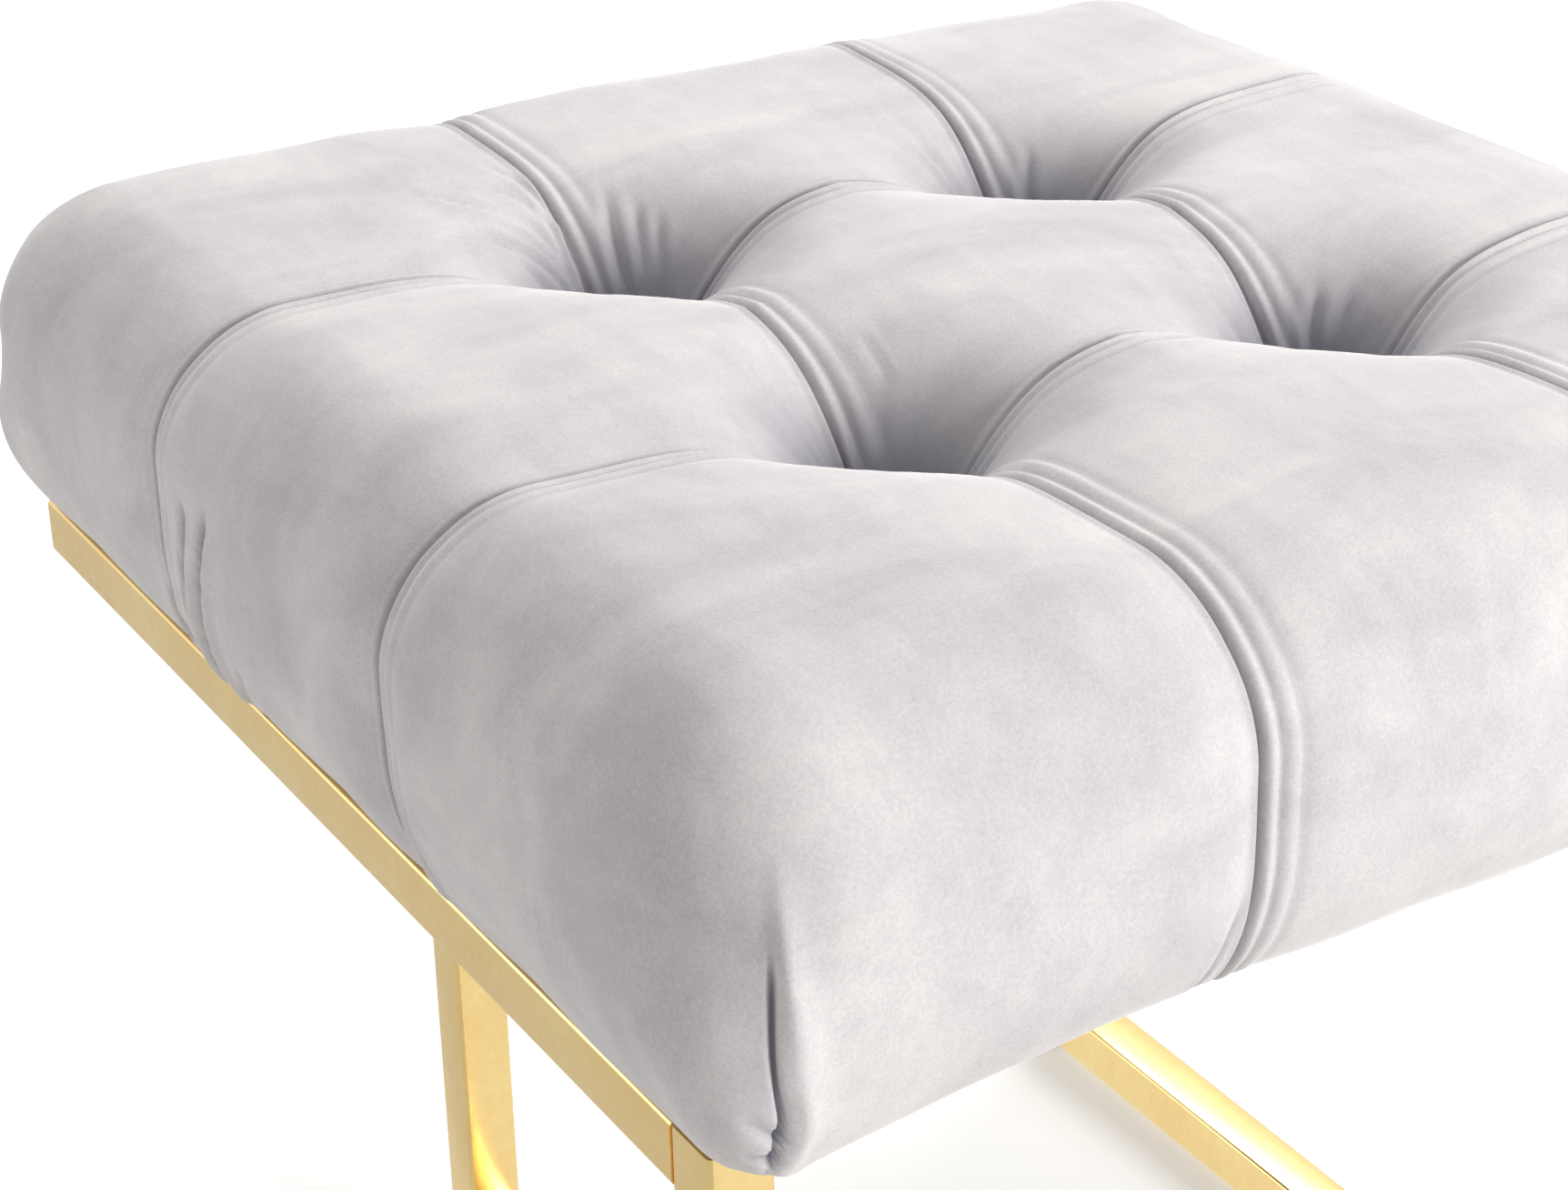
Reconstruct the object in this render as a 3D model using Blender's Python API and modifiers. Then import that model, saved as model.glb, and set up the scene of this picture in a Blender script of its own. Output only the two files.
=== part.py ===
"""Tufted square stool: a biscuit-tufted velvet cushion on a welded square-tube frame.

Metres, +Z up. The origin is on the floor under the middle of the seat. +X runs
along the front, from the left leg to the right one, and the front faces -Y.
"""

import math

import bmesh
import bpy
from mathutils import Vector

# Frame
SEAT_WIDTH = 0.500
SEAT_DEPTH = 0.500
RAIL_TOP = 0.316
TUBE = 0.021
TUBE_WALL = 0.0015
TUBE_ROUND = 0.0015
CROSS_RAIL_SETBACK = 0.026
REAR_LEG_FROM_BACK = 0.104
REAR_LEG_FROM_SIDE = 0.098
WELD_GAP = 0.0003
PLATE_THICKNESS = 0.0015
PLATE_ROUND = 0.0008

# Glides
GLIDE_THICKNESS = 0.003
GLIDE_EDGE = 0.0008
GLIDE_PLUG_LENGTH = 0.012
GLIDE_OVERLAP = 0.0005

# Seat tabs and screws
TAB_WIDTH = 0.030
TAB_REACH = 0.028
TAB_THICKNESS = 0.002
TAB_FROM_FRONT = 0.110
TAB_FROM_BACK = 0.060
SCREW_FROM_RAIL = 0.016
SCREW_SHANK = 0.004
SCREW_LENGTH = 0.012
SCREW_HEAD = 0.009
SCREW_HEAD_HEIGHT = 0.0028
SCREW_POINT = 0.0025
SCREW_CLEARANCE = 0.0004

# Layers of the seat, from the rails up
DUST_COVER_THICKNESS = 0.0008
DUST_COVER_MARGIN = 0.014
COVER_THICKNESS = 0.0012
COVER_TURN_UNDER = 0.025
BOARD_THICKNESS = 0.012
BOARD_ROUND = 0.012
LAYER_GAP = 0.0003

# Cushion
CUSHION_HEIGHT = 0.136
SIDE_BULGE = 0.013
END_BULGE = 0.016
BULGE_HEIGHT = 0.050
HEM_INSET = 0.001
END_HEM_FLARE = 0.014
TOP_ROUND = 0.052
CORNER_ROUND_LOW = 0.016
CORNER_ROUND_HIGH = 0.045

# Tufting
SEAM_SPACING = 0.171
SEAM_DEPTH = 0.009
SEAM_REACH = 0.083
SEAM_GROOVE = 0.010
SIDE_SEAM_DEPTH = 0.005
SIDE_SEAM_REACH = 0.032
TUFT_DEPTH = 0.038
TUFT_REACH = 0.032
TWINE = 0.003
TWINE_CLEARANCE = 0.0005
WASHER = 0.022
CUT_OVERRUN = 0.002

# Shares: places and profiles that follow the sizes above
CELL_LINE_SHARES = (0.28, 0.64)
EDGE_LINE_SHARES = (0.28, 0.55, 0.80)
SIDE_LINE_SHARES = (0.10, 0.30, 0.52, 0.76)
SIDE_ONLY_SHARE = 0.45
SCREW_HEAD_CROWN_SHARES = ((1.0, 0.45), (0.72, 0.88))

# Powers of the cushion's curves: higher ones fall off faster
SEAM_POWER = 3
TUFT_POWER = 1.1
CROSSING_POWER = 4
SWELL_POWER = 0.6
FLARE_POWER = 2.6
EDGE_POWER = 3

# Facets
MERGE_DISTANCE = 0.00005
TUBE_BEVEL_SEGMENTS = 2
ROUND_SEGMENTS = 16
SMALL_ROUND_SEGMENTS = 12

# Planes that the sizes above give, as heights over the floor
DUST_COVER_LOW = RAIL_TOP + LAYER_GAP
COVER_LOW = DUST_COVER_LOW + DUST_COVER_THICKNESS + LAYER_GAP
BOARD_LOW = COVER_LOW + COVER_THICKNESS + LAYER_GAP
BOARD_HIGH = BOARD_LOW + BOARD_THICKNESS
FOAM_LOW = BOARD_HIGH + LAYER_GAP
CUSHION_TOP = RAIL_TOP + CUSHION_HEIGHT

HALF_WIDTH = SEAT_WIDTH / 2
HALF_DEPTH = SEAT_DEPTH / 2
SEAM = SEAM_SPACING / 2
TUFTS = [(side_x * SEAM, side_y * SEAM) for side_y in (-1, 1) for side_x in (-1, 1)]
TUBE_BORE = TUBE - 2 * TUBE_WALL


def clear_scene():
    """Remove every object, so that only the stool is left."""
    for scene_object in list(bpy.data.objects):
        bpy.data.objects.remove(scene_object, do_unlink=True)


def new_collection(name):
    """Make a collection under the scene's own."""
    collection = bpy.data.collections.new(name)
    bpy.context.scene.collection.children.link(collection)
    return collection


def new_material(name, colour, roughness, metallic=0.0):
    """Make a Principled material from a colour, a roughness and a metallic value."""
    material = bpy.data.materials.new(name)
    material.use_nodes = True
    shader = material.node_tree.nodes["Principled BSDF"]
    shader.inputs["Base Color"].default_value = (*colour, 1.0)
    shader.inputs["Roughness"].default_value = roughness
    shader.inputs["Metallic"].default_value = metallic
    material.diffuse_color = (*colour, 1.0)
    return material


class Maker:
    """Puts finished meshes in the scene, as parts or as cutters."""

    def __init__(self):
        self.parts = new_collection("tufted_stool")
        self.cutters = new_collection("cutters")
        self.frame = self.empty("frame")
        self.cushion = self.empty("cushion")

    def empty(self, name):
        """Add an empty at the origin that a sub-assembly's pieces are parented to."""
        holder = bpy.data.objects.new(name, None)
        self.parts.objects.link(holder)
        return holder

    def part(self, name, mesh, material, parent, location=(0, 0, 0), turn=(0, 0, 0)):
        """Add a piece of the stool."""
        piece = self.from_bmesh(name, mesh, self.parts)
        piece.data.materials.append(material)
        piece.parent = parent
        piece.location = location
        piece.rotation_euler = turn
        return piece

    def cutter(self, name, mesh, location=(0, 0, 0)):
        """Add a helper that Boolean modifiers use, and that is left out of the model."""
        helper = self.from_bmesh(name, mesh, self.cutters)
        helper.location = location
        helper.hide_render = True
        helper.display_type = "WIRE"
        return helper

    @staticmethod
    def from_bmesh(name, mesh, collection):
        """Turn a bmesh into an object in a collection."""
        data = bpy.data.meshes.new(name)
        mesh.to_mesh(data)
        mesh.free()
        made = bpy.data.objects.new(name, data)
        collection.objects.link(made)
        return made


def boolean(target, helper, operation="DIFFERENCE"):
    """Cut a helper from a piece, or join it to the piece."""
    modifier = target.modifiers.new(helper.name, "BOOLEAN")
    modifier.operation = operation
    modifier.solver = "EXACT"
    modifier.object = helper


def box(size_x, size_y, size_z):
    """A closed box centred on the origin."""
    mesh = bmesh.new()
    bmesh.ops.create_cube(mesh, size=1)
    bmesh.ops.scale(mesh, vec=(size_x, size_y, size_z), verts=mesh.verts)
    return mesh


def along(edge, axis):
    """Whether an edge runs along an axis, given as 0, 1 or 2."""
    direction = (edge.verts[1].co - edge.verts[0].co).normalized()
    return abs(direction[axis]) > math.cos(math.radians(1))


def round_edges(mesh, edges, radius, segments):
    """Round some edges of a mesh."""
    bmesh.ops.bevel(mesh, geom=edges, offset=radius, segments=segments, profile=0.5,
                    affect="EDGES", clamp_overlap=True)


def plate(size_x, size_y, thickness, radius, segments=2):
    """A flat plate centred on the origin, with rounded corners."""
    mesh = box(size_x, size_y, thickness)
    round_edges(mesh, [edge for edge in mesh.edges if along(edge, 2)], radius, segments)
    return mesh


def cylinder(diameter, length, segments=SMALL_ROUND_SEGMENTS):
    """A closed cylinder centred on the origin, its axis along Z."""
    mesh = bmesh.new()
    bmesh.ops.create_cone(mesh, cap_ends=True, segments=segments, radius1=diameter / 2,
                          radius2=diameter / 2, depth=length)
    return mesh


def open_tube(length):
    """The outer skin of a square tube along Z, open at both ends."""
    mesh = plate(TUBE, TUBE, length, TUBE_ROUND, TUBE_BEVEL_SEGMENTS)
    ends = [face for face in mesh.faces if abs(face.normal.z) > math.cos(math.radians(1))]
    bmesh.ops.delete(mesh, geom=ends, context="FACES")
    return mesh


def square_tube(maker, name, low, high, axis, material):
    """A square tube with a wall and open ends between two corners of its box."""
    low, high = Vector(low), Vector(high)
    turn = {0: (0, math.radians(90), 0), 1: (math.radians(90), 0, 0), 2: (0, 0, 0)}[axis]
    tube = maker.part(name, open_tube(high[axis] - low[axis]), material, maker.frame,
                      (low + high) / 2, turn)
    wall = tube.modifiers.new("wall", "SOLIDIFY")
    wall.thickness = TUBE_WALL
    wall.offset = -1
    wall.use_even_offset = True
    tube.data.shade_smooth()
    tube.data.set_sharp_from_angle(angle=math.radians(40))
    return tube


def build_frame(maker, metal):
    """The welded frame: rails, legs, floor runners and their end plates."""
    front, back = -HALF_DEPTH, HALF_DEPTH
    rail_low = RAIL_TOP - TUBE
    floor_low, floor_high = GLIDE_THICKNESS, GLIDE_THICKNESS + TUBE
    leg_low = GLIDE_THICKNESS + WELD_GAP
    inside = HALF_WIDTH - TUBE - WELD_GAP
    rear_leg_back = back - REAR_LEG_FROM_BACK
    rear_leg_front = rear_leg_back - TUBE
    cross_front = front + CROSS_RAIL_SETBACK

    for side, word in ((-1, "left"), (1, "right")):
        outer, inner = side * HALF_WIDTH, side * (HALF_WIDTH - TUBE)
        low_x, high_x = min(outer, inner), max(outer, inner)
        square_tube(maker, f"side_rail_{word}", (low_x, front + TUBE + WELD_GAP, rail_low),
                    (high_x, back, RAIL_TOP), 1, metal)
        square_tube(maker, f"front_leg_{word}", (low_x, front, leg_low),
                    (high_x, front + TUBE, RAIL_TOP), 2, metal)

        leg_outer = side * (HALF_WIDTH - REAR_LEG_FROM_SIDE)
        leg_inner = leg_outer - side * TUBE
        leg_x = (min(leg_outer, leg_inner), max(leg_outer, leg_inner))
        square_tube(maker, f"rear_leg_{word}", (leg_x[0], rear_leg_front, leg_low),
                    (leg_x[1], rear_leg_back, rail_low - WELD_GAP), 2, metal)
        square_tube(maker, f"inner_runner_{word}",
                    (leg_x[0], front + TUBE + WELD_GAP, floor_low),
                    (leg_x[1], rear_leg_front - WELD_GAP, floor_high), 1, metal)

        plug = TUBE_BORE - 2 * WELD_GAP
        middle_x = (outer + inner) / 2
        maker.part(f"leg_top_plate_{word}", plate(plug, plug, PLATE_THICKNESS, PLATE_ROUND),
                   metal, maker.frame,
                   (middle_x, front + TUBE / 2, RAIL_TOP - PLATE_THICKNESS / 2))
        maker.part(f"rail_end_plate_{word}", plate(plug, plug, PLATE_THICKNESS, PLATE_ROUND),
                   metal, maker.frame,
                   (middle_x, back - PLATE_THICKNESS / 2, RAIL_TOP - TUBE / 2),
                   (math.radians(90), 0, 0))

    square_tube(maker, "front_cross_rail", (-inside, cross_front, rail_low),
                (inside, cross_front + TUBE, RAIL_TOP), 0, metal)
    square_tube(maker, "rear_cross_rail", (-inside, rear_leg_front, rail_low),
                (inside, rear_leg_back, RAIL_TOP), 0, metal)
    square_tube(maker, "front_floor_runner", (-inside, front, floor_low),
                (inside, front + TUBE, floor_high), 0, metal)


def build_glides(maker, plastic):
    """A plastic glide under each leg: a foot as wide as the tube, with a plug inside it."""
    plug = TUBE_BORE - 2 * WELD_GAP
    plug_height = GLIDE_PLUG_LENGTH + GLIDE_OVERLAP
    front_x, front_y = HALF_WIDTH - TUBE / 2, -HALF_DEPTH + TUBE / 2
    rear_x = HALF_WIDTH - REAR_LEG_FROM_SIDE - TUBE / 2
    rear_y = HALF_DEPTH - REAR_LEG_FROM_BACK - TUBE / 2
    places = (("front", "left", -front_x, front_y), ("front", "right", front_x, front_y),
              ("rear", "left", -rear_x, rear_y), ("rear", "right", rear_x, rear_y))
    for end, side, place_x, place_y in places:
        foot = box(TUBE, TUBE, GLIDE_THICKNESS)
        round_edges(foot, list(foot.edges), GLIDE_EDGE, 1)
        glide = maker.part(f"{end}_glide_{side}", foot, plastic, maker.frame,
                           (place_x, place_y, GLIDE_THICKNESS / 2))
        stem = maker.cutter(f"{end}_glide_plug_{side}", plate(plug, plug, plug_height, PLATE_ROUND),
                            (place_x, place_y,
                             GLIDE_THICKNESS - GLIDE_OVERLAP + plug_height / 2))
        boolean(glide, stem, "UNION")


def screw_profile():
    """The half outline of a pan-head screw, from its point down to its head's underside."""
    shank, head = SCREW_SHANK / 2, SCREW_HEAD / 2
    top, low = SCREW_LENGTH, -SCREW_HEAD_HEIGHT
    crown = [(head * across, low * down) for across, down in SCREW_HEAD_CROWN_SHARES]
    return [(0, top), (shank, top - SCREW_POINT), (shank, 0), (head, 0), *crown, (0, low)]


def turned(maker, name, profile, closed, material, parent, location, segments):
    """A piece turned about Z from a profile that runs down its outer side."""
    mesh = bmesh.new()
    points = [mesh.verts.new((radius, 0, height)) for radius, height in profile]
    pairs = list(zip(points, points[1:]))
    if closed:
        pairs.append((points[-1], points[0]))
    for first, second in pairs:
        mesh.edges.new((first, second))
    piece = maker.part(name, mesh, material, parent, location)
    spin = piece.modifiers.new("turn", "SCREW")
    spin.steps = segments
    spin.render_steps = segments
    spin.use_merge_vertices = True
    spin.merge_threshold = MERGE_DISTANCE
    spin.use_smooth_shade = False
    return piece


def tab_places():
    """The middle of each tab's screw hole, with its name."""
    places = []
    for side, word in ((-1, "left"), (1, "right")):
        place_x = side * (HALF_WIDTH - TUBE - SCREW_FROM_RAIL)
        places.append((f"front_{word}", side, place_x, -HALF_DEPTH + TAB_FROM_FRONT))
        places.append((f"rear_{word}", side, place_x, HALF_DEPTH - TAB_FROM_BACK))
    return places


def build_tabs(maker, metal, steel):
    """The tabs inside the side rails, and the screws that hold the seat board to them."""
    hole = SCREW_SHANK + 2 * SCREW_CLEARANCE
    reach = SCREW_LENGTH + 2 * CUT_OVERRUN
    drills = []
    for name, side, place_x, place_y in tab_places():
        tab_x = side * (HALF_WIDTH - TUBE - WELD_GAP - TAB_REACH / 2)
        tab = maker.part(f"seat_tab_{name}",
                         plate(TAB_REACH, TAB_WIDTH, TAB_THICKNESS, PLATE_ROUND), metal,
                         maker.frame, (tab_x, place_y, RAIL_TOP - TAB_THICKNESS / 2))
        head_top = RAIL_TOP - TAB_THICKNESS - LAYER_GAP
        turned(maker, f"seat_screw_{name}", screw_profile(), False, steel, maker.frame,
               (place_x, place_y, head_top), SMALL_ROUND_SEGMENTS)
        drill_low = RAIL_TOP - TAB_THICKNESS - CUT_OVERRUN
        drill_high = head_top + SCREW_LENGTH + SCREW_CLEARANCE
        drill = maker.cutter(f"screw_hole_{name}", cylinder(hole, drill_high - drill_low),
                             (place_x, place_y, (drill_low + drill_high) / 2))
        boolean(tab, drill)
        drills.append(drill)
    return drills


def smooth(value):
    """An even step from 0 to 1 with level ends."""
    value = min(max(value, 0.0), 1.0)
    return value * value * (3 - 2 * value)


def seam_profile(distance, reach):
    """How much of its depth a seam has at a distance from its line: 1 on it, 0 beyond."""
    return max(0.0, 1 - abs(distance) / reach) ** SEAM_POWER


def seam_depth(place):
    """The depth of a seam at a place along it: least away from its tufts, most at them."""
    from_tuft = abs(abs(place) - SEAM)
    return SEAM_DEPTH + TUFT_DEPTH * math.exp(-((from_tuft / TUFT_REACH) ** TUFT_POWER))


def top_dip(place_x, place_y):
    """How far the top lies below its plain crown, where seams and tufts draw it down."""
    across_x = seam_depth(place_y) * seam_profile(abs(place_x) - SEAM, SEAM_REACH)
    across_y = seam_depth(place_x) * seam_profile(abs(place_y) - SEAM, SEAM_REACH)
    return (across_x ** CROSSING_POWER + across_y ** CROSSING_POWER) ** (1 / CROSSING_POWER)


def corner_radius(height):
    """The radius of the cushion's upright corners at a height over its hem."""
    share = smooth(height / (CUSHION_TOP - COVER_LOW - TOP_ROUND))
    return CORNER_ROUND_LOW + (CORNER_ROUND_HIGH - CORNER_ROUND_LOW) * share


def side_swell(height, across, bulge, flare, half_length):
    """How far a side stands out past the rails, at a height and a place along it."""
    rise = min(max(height / BULGE_HEIGHT, 0.0), 1.0)
    swell = math.sin(rise * math.pi / 2) ** SWELL_POWER
    groove = SIDE_SEAM_DEPTH * seam_profile(abs(across) - SEAM, SIDE_SEAM_REACH)
    hem = flare * abs(across / half_length) ** FLARE_POWER - HEM_INSET
    return hem * (1 - swell) + (bulge - groove) * swell


def cushion_point(flat):
    """Move a point of the plain box on to the cushion's surface.

    The box is the seat's outline between the hem and the top. Its edges are rounded,
    its sides swell out, and its top sinks along the seams and at the tufts.
    """
    radius = corner_radius(flat.z - COVER_LOW)
    core = Vector((max(-HALF_WIDTH + radius, min(HALF_WIDTH - radius, flat.x)),
                   max(-HALF_DEPTH + radius, min(HALF_DEPTH - radius, flat.y)),
                   min(flat.z, CUSHION_TOP - TOP_ROUND)))
    reach = flat - core
    reach.z *= radius / TOP_ROUND
    if reach.length > 0:
        reach = reach.normalized() * radius
    reach.z *= TOP_ROUND / radius
    rounded = core + reach
    level = rounded.z - COVER_LOW
    swell_x = side_swell(level, rounded.y, SIDE_BULGE, 0, HALF_DEPTH)
    swell_y = side_swell(level, rounded.x, END_BULGE, END_HEM_FLARE, HALF_WIDTH)
    placed = Vector((rounded.x + (rounded.x / HALF_WIDTH) ** EDGE_POWER * swell_x,
                     rounded.y + (rounded.y / HALF_DEPTH) ** EDGE_POWER * swell_y, rounded.z))
    height_share = level / (CUSHION_TOP - COVER_LOW)
    topness = smooth((height_share - SIDE_ONLY_SHARE) / (1 - SIDE_ONLY_SHARE))
    placed.z -= topness * top_dip(placed.x, placed.y)
    return placed


def grid_lines(half_length):
    """The places of the cushion's grid lines across one side, both halves alike."""
    inner, outer = SEAM - SEAM_GROOVE, SEAM + SEAM_GROOVE
    lines = [inner, SEAM, outer]
    lines += [share * inner for share in CELL_LINE_SHARES]
    lines += [outer + share * (half_length - outer) for share in EDGE_LINE_SHARES]
    return sorted(lines + [-line for line in lines])


def cut_along(mesh, axis, place):
    """Add the edges where a plane across an axis meets the mesh."""
    normal = Vector((0, 0, 0))
    normal[axis] = 1
    geometry = list(mesh.verts) + list(mesh.edges) + list(mesh.faces)
    bmesh.ops.bisect_plane(mesh, geom=geometry, plane_co=normal * place, plane_no=normal)


def cushion_skin():
    """The outside of the cushion, open below: a box cut into a grid and shaped.

    It is split into triangles here, so that the cover and the foam inside it have
    their folds in the same places.
    """
    height = CUSHION_TOP - COVER_LOW
    mesh = box(SEAT_WIDTH, SEAT_DEPTH, height)
    bmesh.ops.translate(mesh, vec=(0, 0, COVER_LOW + height / 2), verts=mesh.verts)
    bottom = [face for face in mesh.faces if face.normal.z < -0.5]
    bmesh.ops.delete(mesh, geom=bottom, context="FACES")
    for place in grid_lines(HALF_WIDTH):
        cut_along(mesh, 0, place)
    for place in grid_lines(HALF_DEPTH):
        cut_along(mesh, 1, place)
    for share in SIDE_LINE_SHARES:
        cut_along(mesh, 2, COVER_LOW + share * height)
    for vertex in mesh.verts:
        vertex.co = cushion_point(vertex.co)
    bmesh.ops.triangulate(mesh, faces=mesh.faces, quad_method="SHORT_EDGE")
    bmesh.ops.recalc_face_normals(mesh, faces=mesh.faces)
    return mesh


def build_cover(maker, velvet):
    """The velvet cover, turned in under the seat board all round."""
    mesh = cushion_skin()
    rim = [edge for edge in mesh.edges if edge.is_boundary]
    turned_in = bmesh.ops.extrude_edge_only(mesh, edges=rim)["geom"]
    inner = [item for item in turned_in if isinstance(item, bmesh.types.BMVert)]
    scale = (HALF_WIDTH - COVER_TURN_UNDER) / HALF_WIDTH
    bmesh.ops.scale(mesh, vec=(scale, scale, 1), verts=inner)
    bmesh.ops.recalc_face_normals(mesh, faces=mesh.faces)
    cover = maker.part("velvet_cover", mesh, velvet, maker.cushion)
    cloth = cover.modifiers.new("cloth", "SOLIDIFY")
    cloth.thickness = COVER_THICKNESS
    cloth.offset = -1
    cover.data.shade_smooth()
    return cover


def build_foam(maker, foam_material):
    """The foam pad: the cushion's form less the cover, cut flat where it lies on the board."""
    mesh = cushion_skin()
    mesh.normal_update()
    inset = COVER_THICKNESS + LAYER_GAP
    moved = [vertex.co - vertex.normal * inset for vertex in mesh.verts]
    for vertex, place in zip(mesh.verts, moved):
        vertex.co = place
    geometry = list(mesh.verts) + list(mesh.edges) + list(mesh.faces)
    bmesh.ops.bisect_plane(mesh, geom=geometry, plane_co=(0, 0, FOAM_LOW),
                           plane_no=(0, 0, 1), clear_inner=True)
    bmesh.ops.holes_fill(mesh, edges=[edge for edge in mesh.edges if edge.is_boundary])
    bmesh.ops.recalc_face_normals(mesh, faces=mesh.faces)
    return maker.part("foam_pad", mesh, foam_material, maker.cushion)


def pull_height(tuft_x, tuft_y):
    """The height of the cover's outside at a tuft."""
    return cushion_point(Vector((tuft_x, tuft_y, CUSHION_TOP))).z


def build_tufting(maker, foam, board, twine_material, steel):
    """The twines that hold the tufts down, their washers, and the holes they run in."""
    washer_low, washer_high = COVER_LOW, COVER_LOW + COVER_THICKNESS
    hole = TWINE + 2 * TWINE_CLEARANCE
    for number, (tuft_x, tuft_y) in enumerate(TUFTS, start=1):
        twine_high = pull_height(tuft_x, tuft_y) - COVER_THICKNESS - LAYER_GAP
        length = twine_high - washer_low
        maker.part(f"tuft_twine_{number}", cylinder(TWINE, length), twine_material,
                   maker.cushion, (tuft_x, tuft_y, washer_low + length / 2))
        outline = [(WASHER / 2, washer_high), (WASHER / 2, washer_low),
                   (hole / 2, washer_low), (hole / 2, washer_high)]
        turned(maker, f"tuft_washer_{number}", outline, True, steel, maker.cushion,
               (tuft_x, tuft_y, 0), ROUND_SEGMENTS)
        drill_low, drill_high = BOARD_LOW - CUT_OVERRUN, CUSHION_TOP
        drill = maker.cutter(f"twine_hole_{number}", cylinder(hole, drill_high - drill_low),
                             (tuft_x, tuft_y, (drill_low + drill_high) / 2))
        boolean(foam, drill)
        boolean(board, drill)


def build_board(maker, plywood):
    """The plywood board inside the cover's turned-in hem."""
    margin = HEM_INSET + COVER_THICKNESS + 2 * LAYER_GAP
    mesh = plate(SEAT_WIDTH - 2 * margin, SEAT_DEPTH - 2 * margin, BOARD_THICKNESS,
                 BOARD_ROUND, 3)
    return maker.part("seat_board", mesh, plywood, maker.cushion,
                      (0, 0, BOARD_LOW + BOARD_THICKNESS / 2))


def build_dust_cover(maker, cloth):
    """The thin cloth under the board, over the cover's turned-in hem."""
    mesh = plate(SEAT_WIDTH - 2 * DUST_COVER_MARGIN, SEAT_DEPTH - 2 * DUST_COVER_MARGIN,
                 DUST_COVER_THICKNESS, BOARD_ROUND, 2)
    return maker.part("dust_cover", mesh, cloth, maker.cushion,
                      (0, 0, DUST_COVER_LOW + DUST_COVER_THICKNESS / 2))


def main():
    """Build the stool, frame first and cushion after."""
    clear_scene()
    maker = Maker()
    gold = new_material("gold_plated_steel", (0.83, 0.58, 0.22), 0.22, 1.0)
    steel = new_material("zinc_plated_steel", (0.62, 0.62, 0.60), 0.40, 1.0)
    plastic = new_material("black_nylon", (0.03, 0.03, 0.03), 0.50)
    velvet = new_material("pale_velvet", (0.56, 0.53, 0.54), 0.85)
    foam_material = new_material("cream_foam", (0.85, 0.80, 0.62), 0.95)
    plywood = new_material("plywood", (0.62, 0.44, 0.26), 0.70)
    black_cloth = new_material("black_dust_cloth", (0.02, 0.02, 0.02), 0.95)
    twine_material = new_material("waxed_twine", (0.70, 0.66, 0.56), 0.80)

    build_frame(maker, gold)
    build_glides(maker, plastic)
    drills = build_tabs(maker, gold, steel)
    build_cover(maker, velvet)
    foam = build_foam(maker, foam_material)
    board = build_board(maker, plywood)
    dust_cover = build_dust_cover(maker, black_cloth)
    build_tufting(maker, foam, board, twine_material, steel)
    for drill in drills:
        boolean(board, drill)
        boolean(dust_cover, drill)


if __name__ == "__main__":
    main()
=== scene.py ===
"""The looks of a tufted stool: pale velvet on a polished, gold-plated tube frame.

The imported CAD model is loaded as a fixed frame. The velvet cover, the foam, the
dust cover, the twines and the tubes of the frame are modelled anew in the places of
their CAD nodes, and every piece gets its finish. Metres, +Z up, the front of the
stool faces -Y.
"""

from __future__ import annotations

import logging
import math
from collections import Counter
from dataclasses import dataclass
from enum import Enum
from typing import Callable

import bpy
import numpy as np
from mathutils import Matrix, Vector, noise

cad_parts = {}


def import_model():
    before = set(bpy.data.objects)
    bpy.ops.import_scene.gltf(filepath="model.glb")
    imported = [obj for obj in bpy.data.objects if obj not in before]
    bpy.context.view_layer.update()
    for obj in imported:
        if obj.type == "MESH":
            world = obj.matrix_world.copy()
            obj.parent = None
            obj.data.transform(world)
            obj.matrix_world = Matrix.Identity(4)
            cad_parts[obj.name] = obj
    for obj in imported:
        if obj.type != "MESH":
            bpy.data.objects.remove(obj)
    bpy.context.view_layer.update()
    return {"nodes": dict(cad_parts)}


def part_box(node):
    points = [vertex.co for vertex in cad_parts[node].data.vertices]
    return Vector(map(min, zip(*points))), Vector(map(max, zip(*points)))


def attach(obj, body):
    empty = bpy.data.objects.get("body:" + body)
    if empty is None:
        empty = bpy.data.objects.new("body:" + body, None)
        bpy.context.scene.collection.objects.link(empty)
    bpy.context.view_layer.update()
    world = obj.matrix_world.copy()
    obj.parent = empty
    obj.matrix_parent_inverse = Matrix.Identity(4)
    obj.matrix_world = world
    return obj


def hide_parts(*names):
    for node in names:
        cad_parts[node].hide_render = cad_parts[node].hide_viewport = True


LOG = logging.getLogger("stool")
# The cover's attribute of painted shade, darker in its pits, creases, seams and corner folds,
# mixed into the velvet's colour
PAINTED_SHADE_ATTRIBUTE = "velvet_painted_shade"
VARIATION = "surface_variation"
COARSE_SHARE, FINE_SHARE = 0.7, 0.3
TONE_RANGE = (0.36, 0.66)
BODY = "root"

# Tolerances: a point on a face, an edge along an axis, a face square to one, a length of nothing
ON_FACE = 0.0001
LEAST_EDGE = 0.001
SQUARE = 0.99
NOTHING = 1e-9


class Slot(Enum):
    """Material slot names, one for each finish of the new pieces."""

    GOLD = "gold"
    ZINC = "zinc"
    VELVET = "velvet"
    FOAM = "foam"
    DUST_CLOTH = "dust_cloth"
    TWINE = "twine"


# Edit-mode helpers


def deselect_all() -> None:
    """Leave nothing selected, so that an operator acts on its own piece alone."""
    bpy.ops.object.select_all(action="DESELECT")


def activate(piece: bpy.types.Object) -> None:
    """Select one piece alone and make it the active one.

    Args:
        piece: The piece that the next operators act on.
    """
    deselect_all()
    piece.select_set(True)
    bpy.context.view_layer.objects.active = piece


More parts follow.
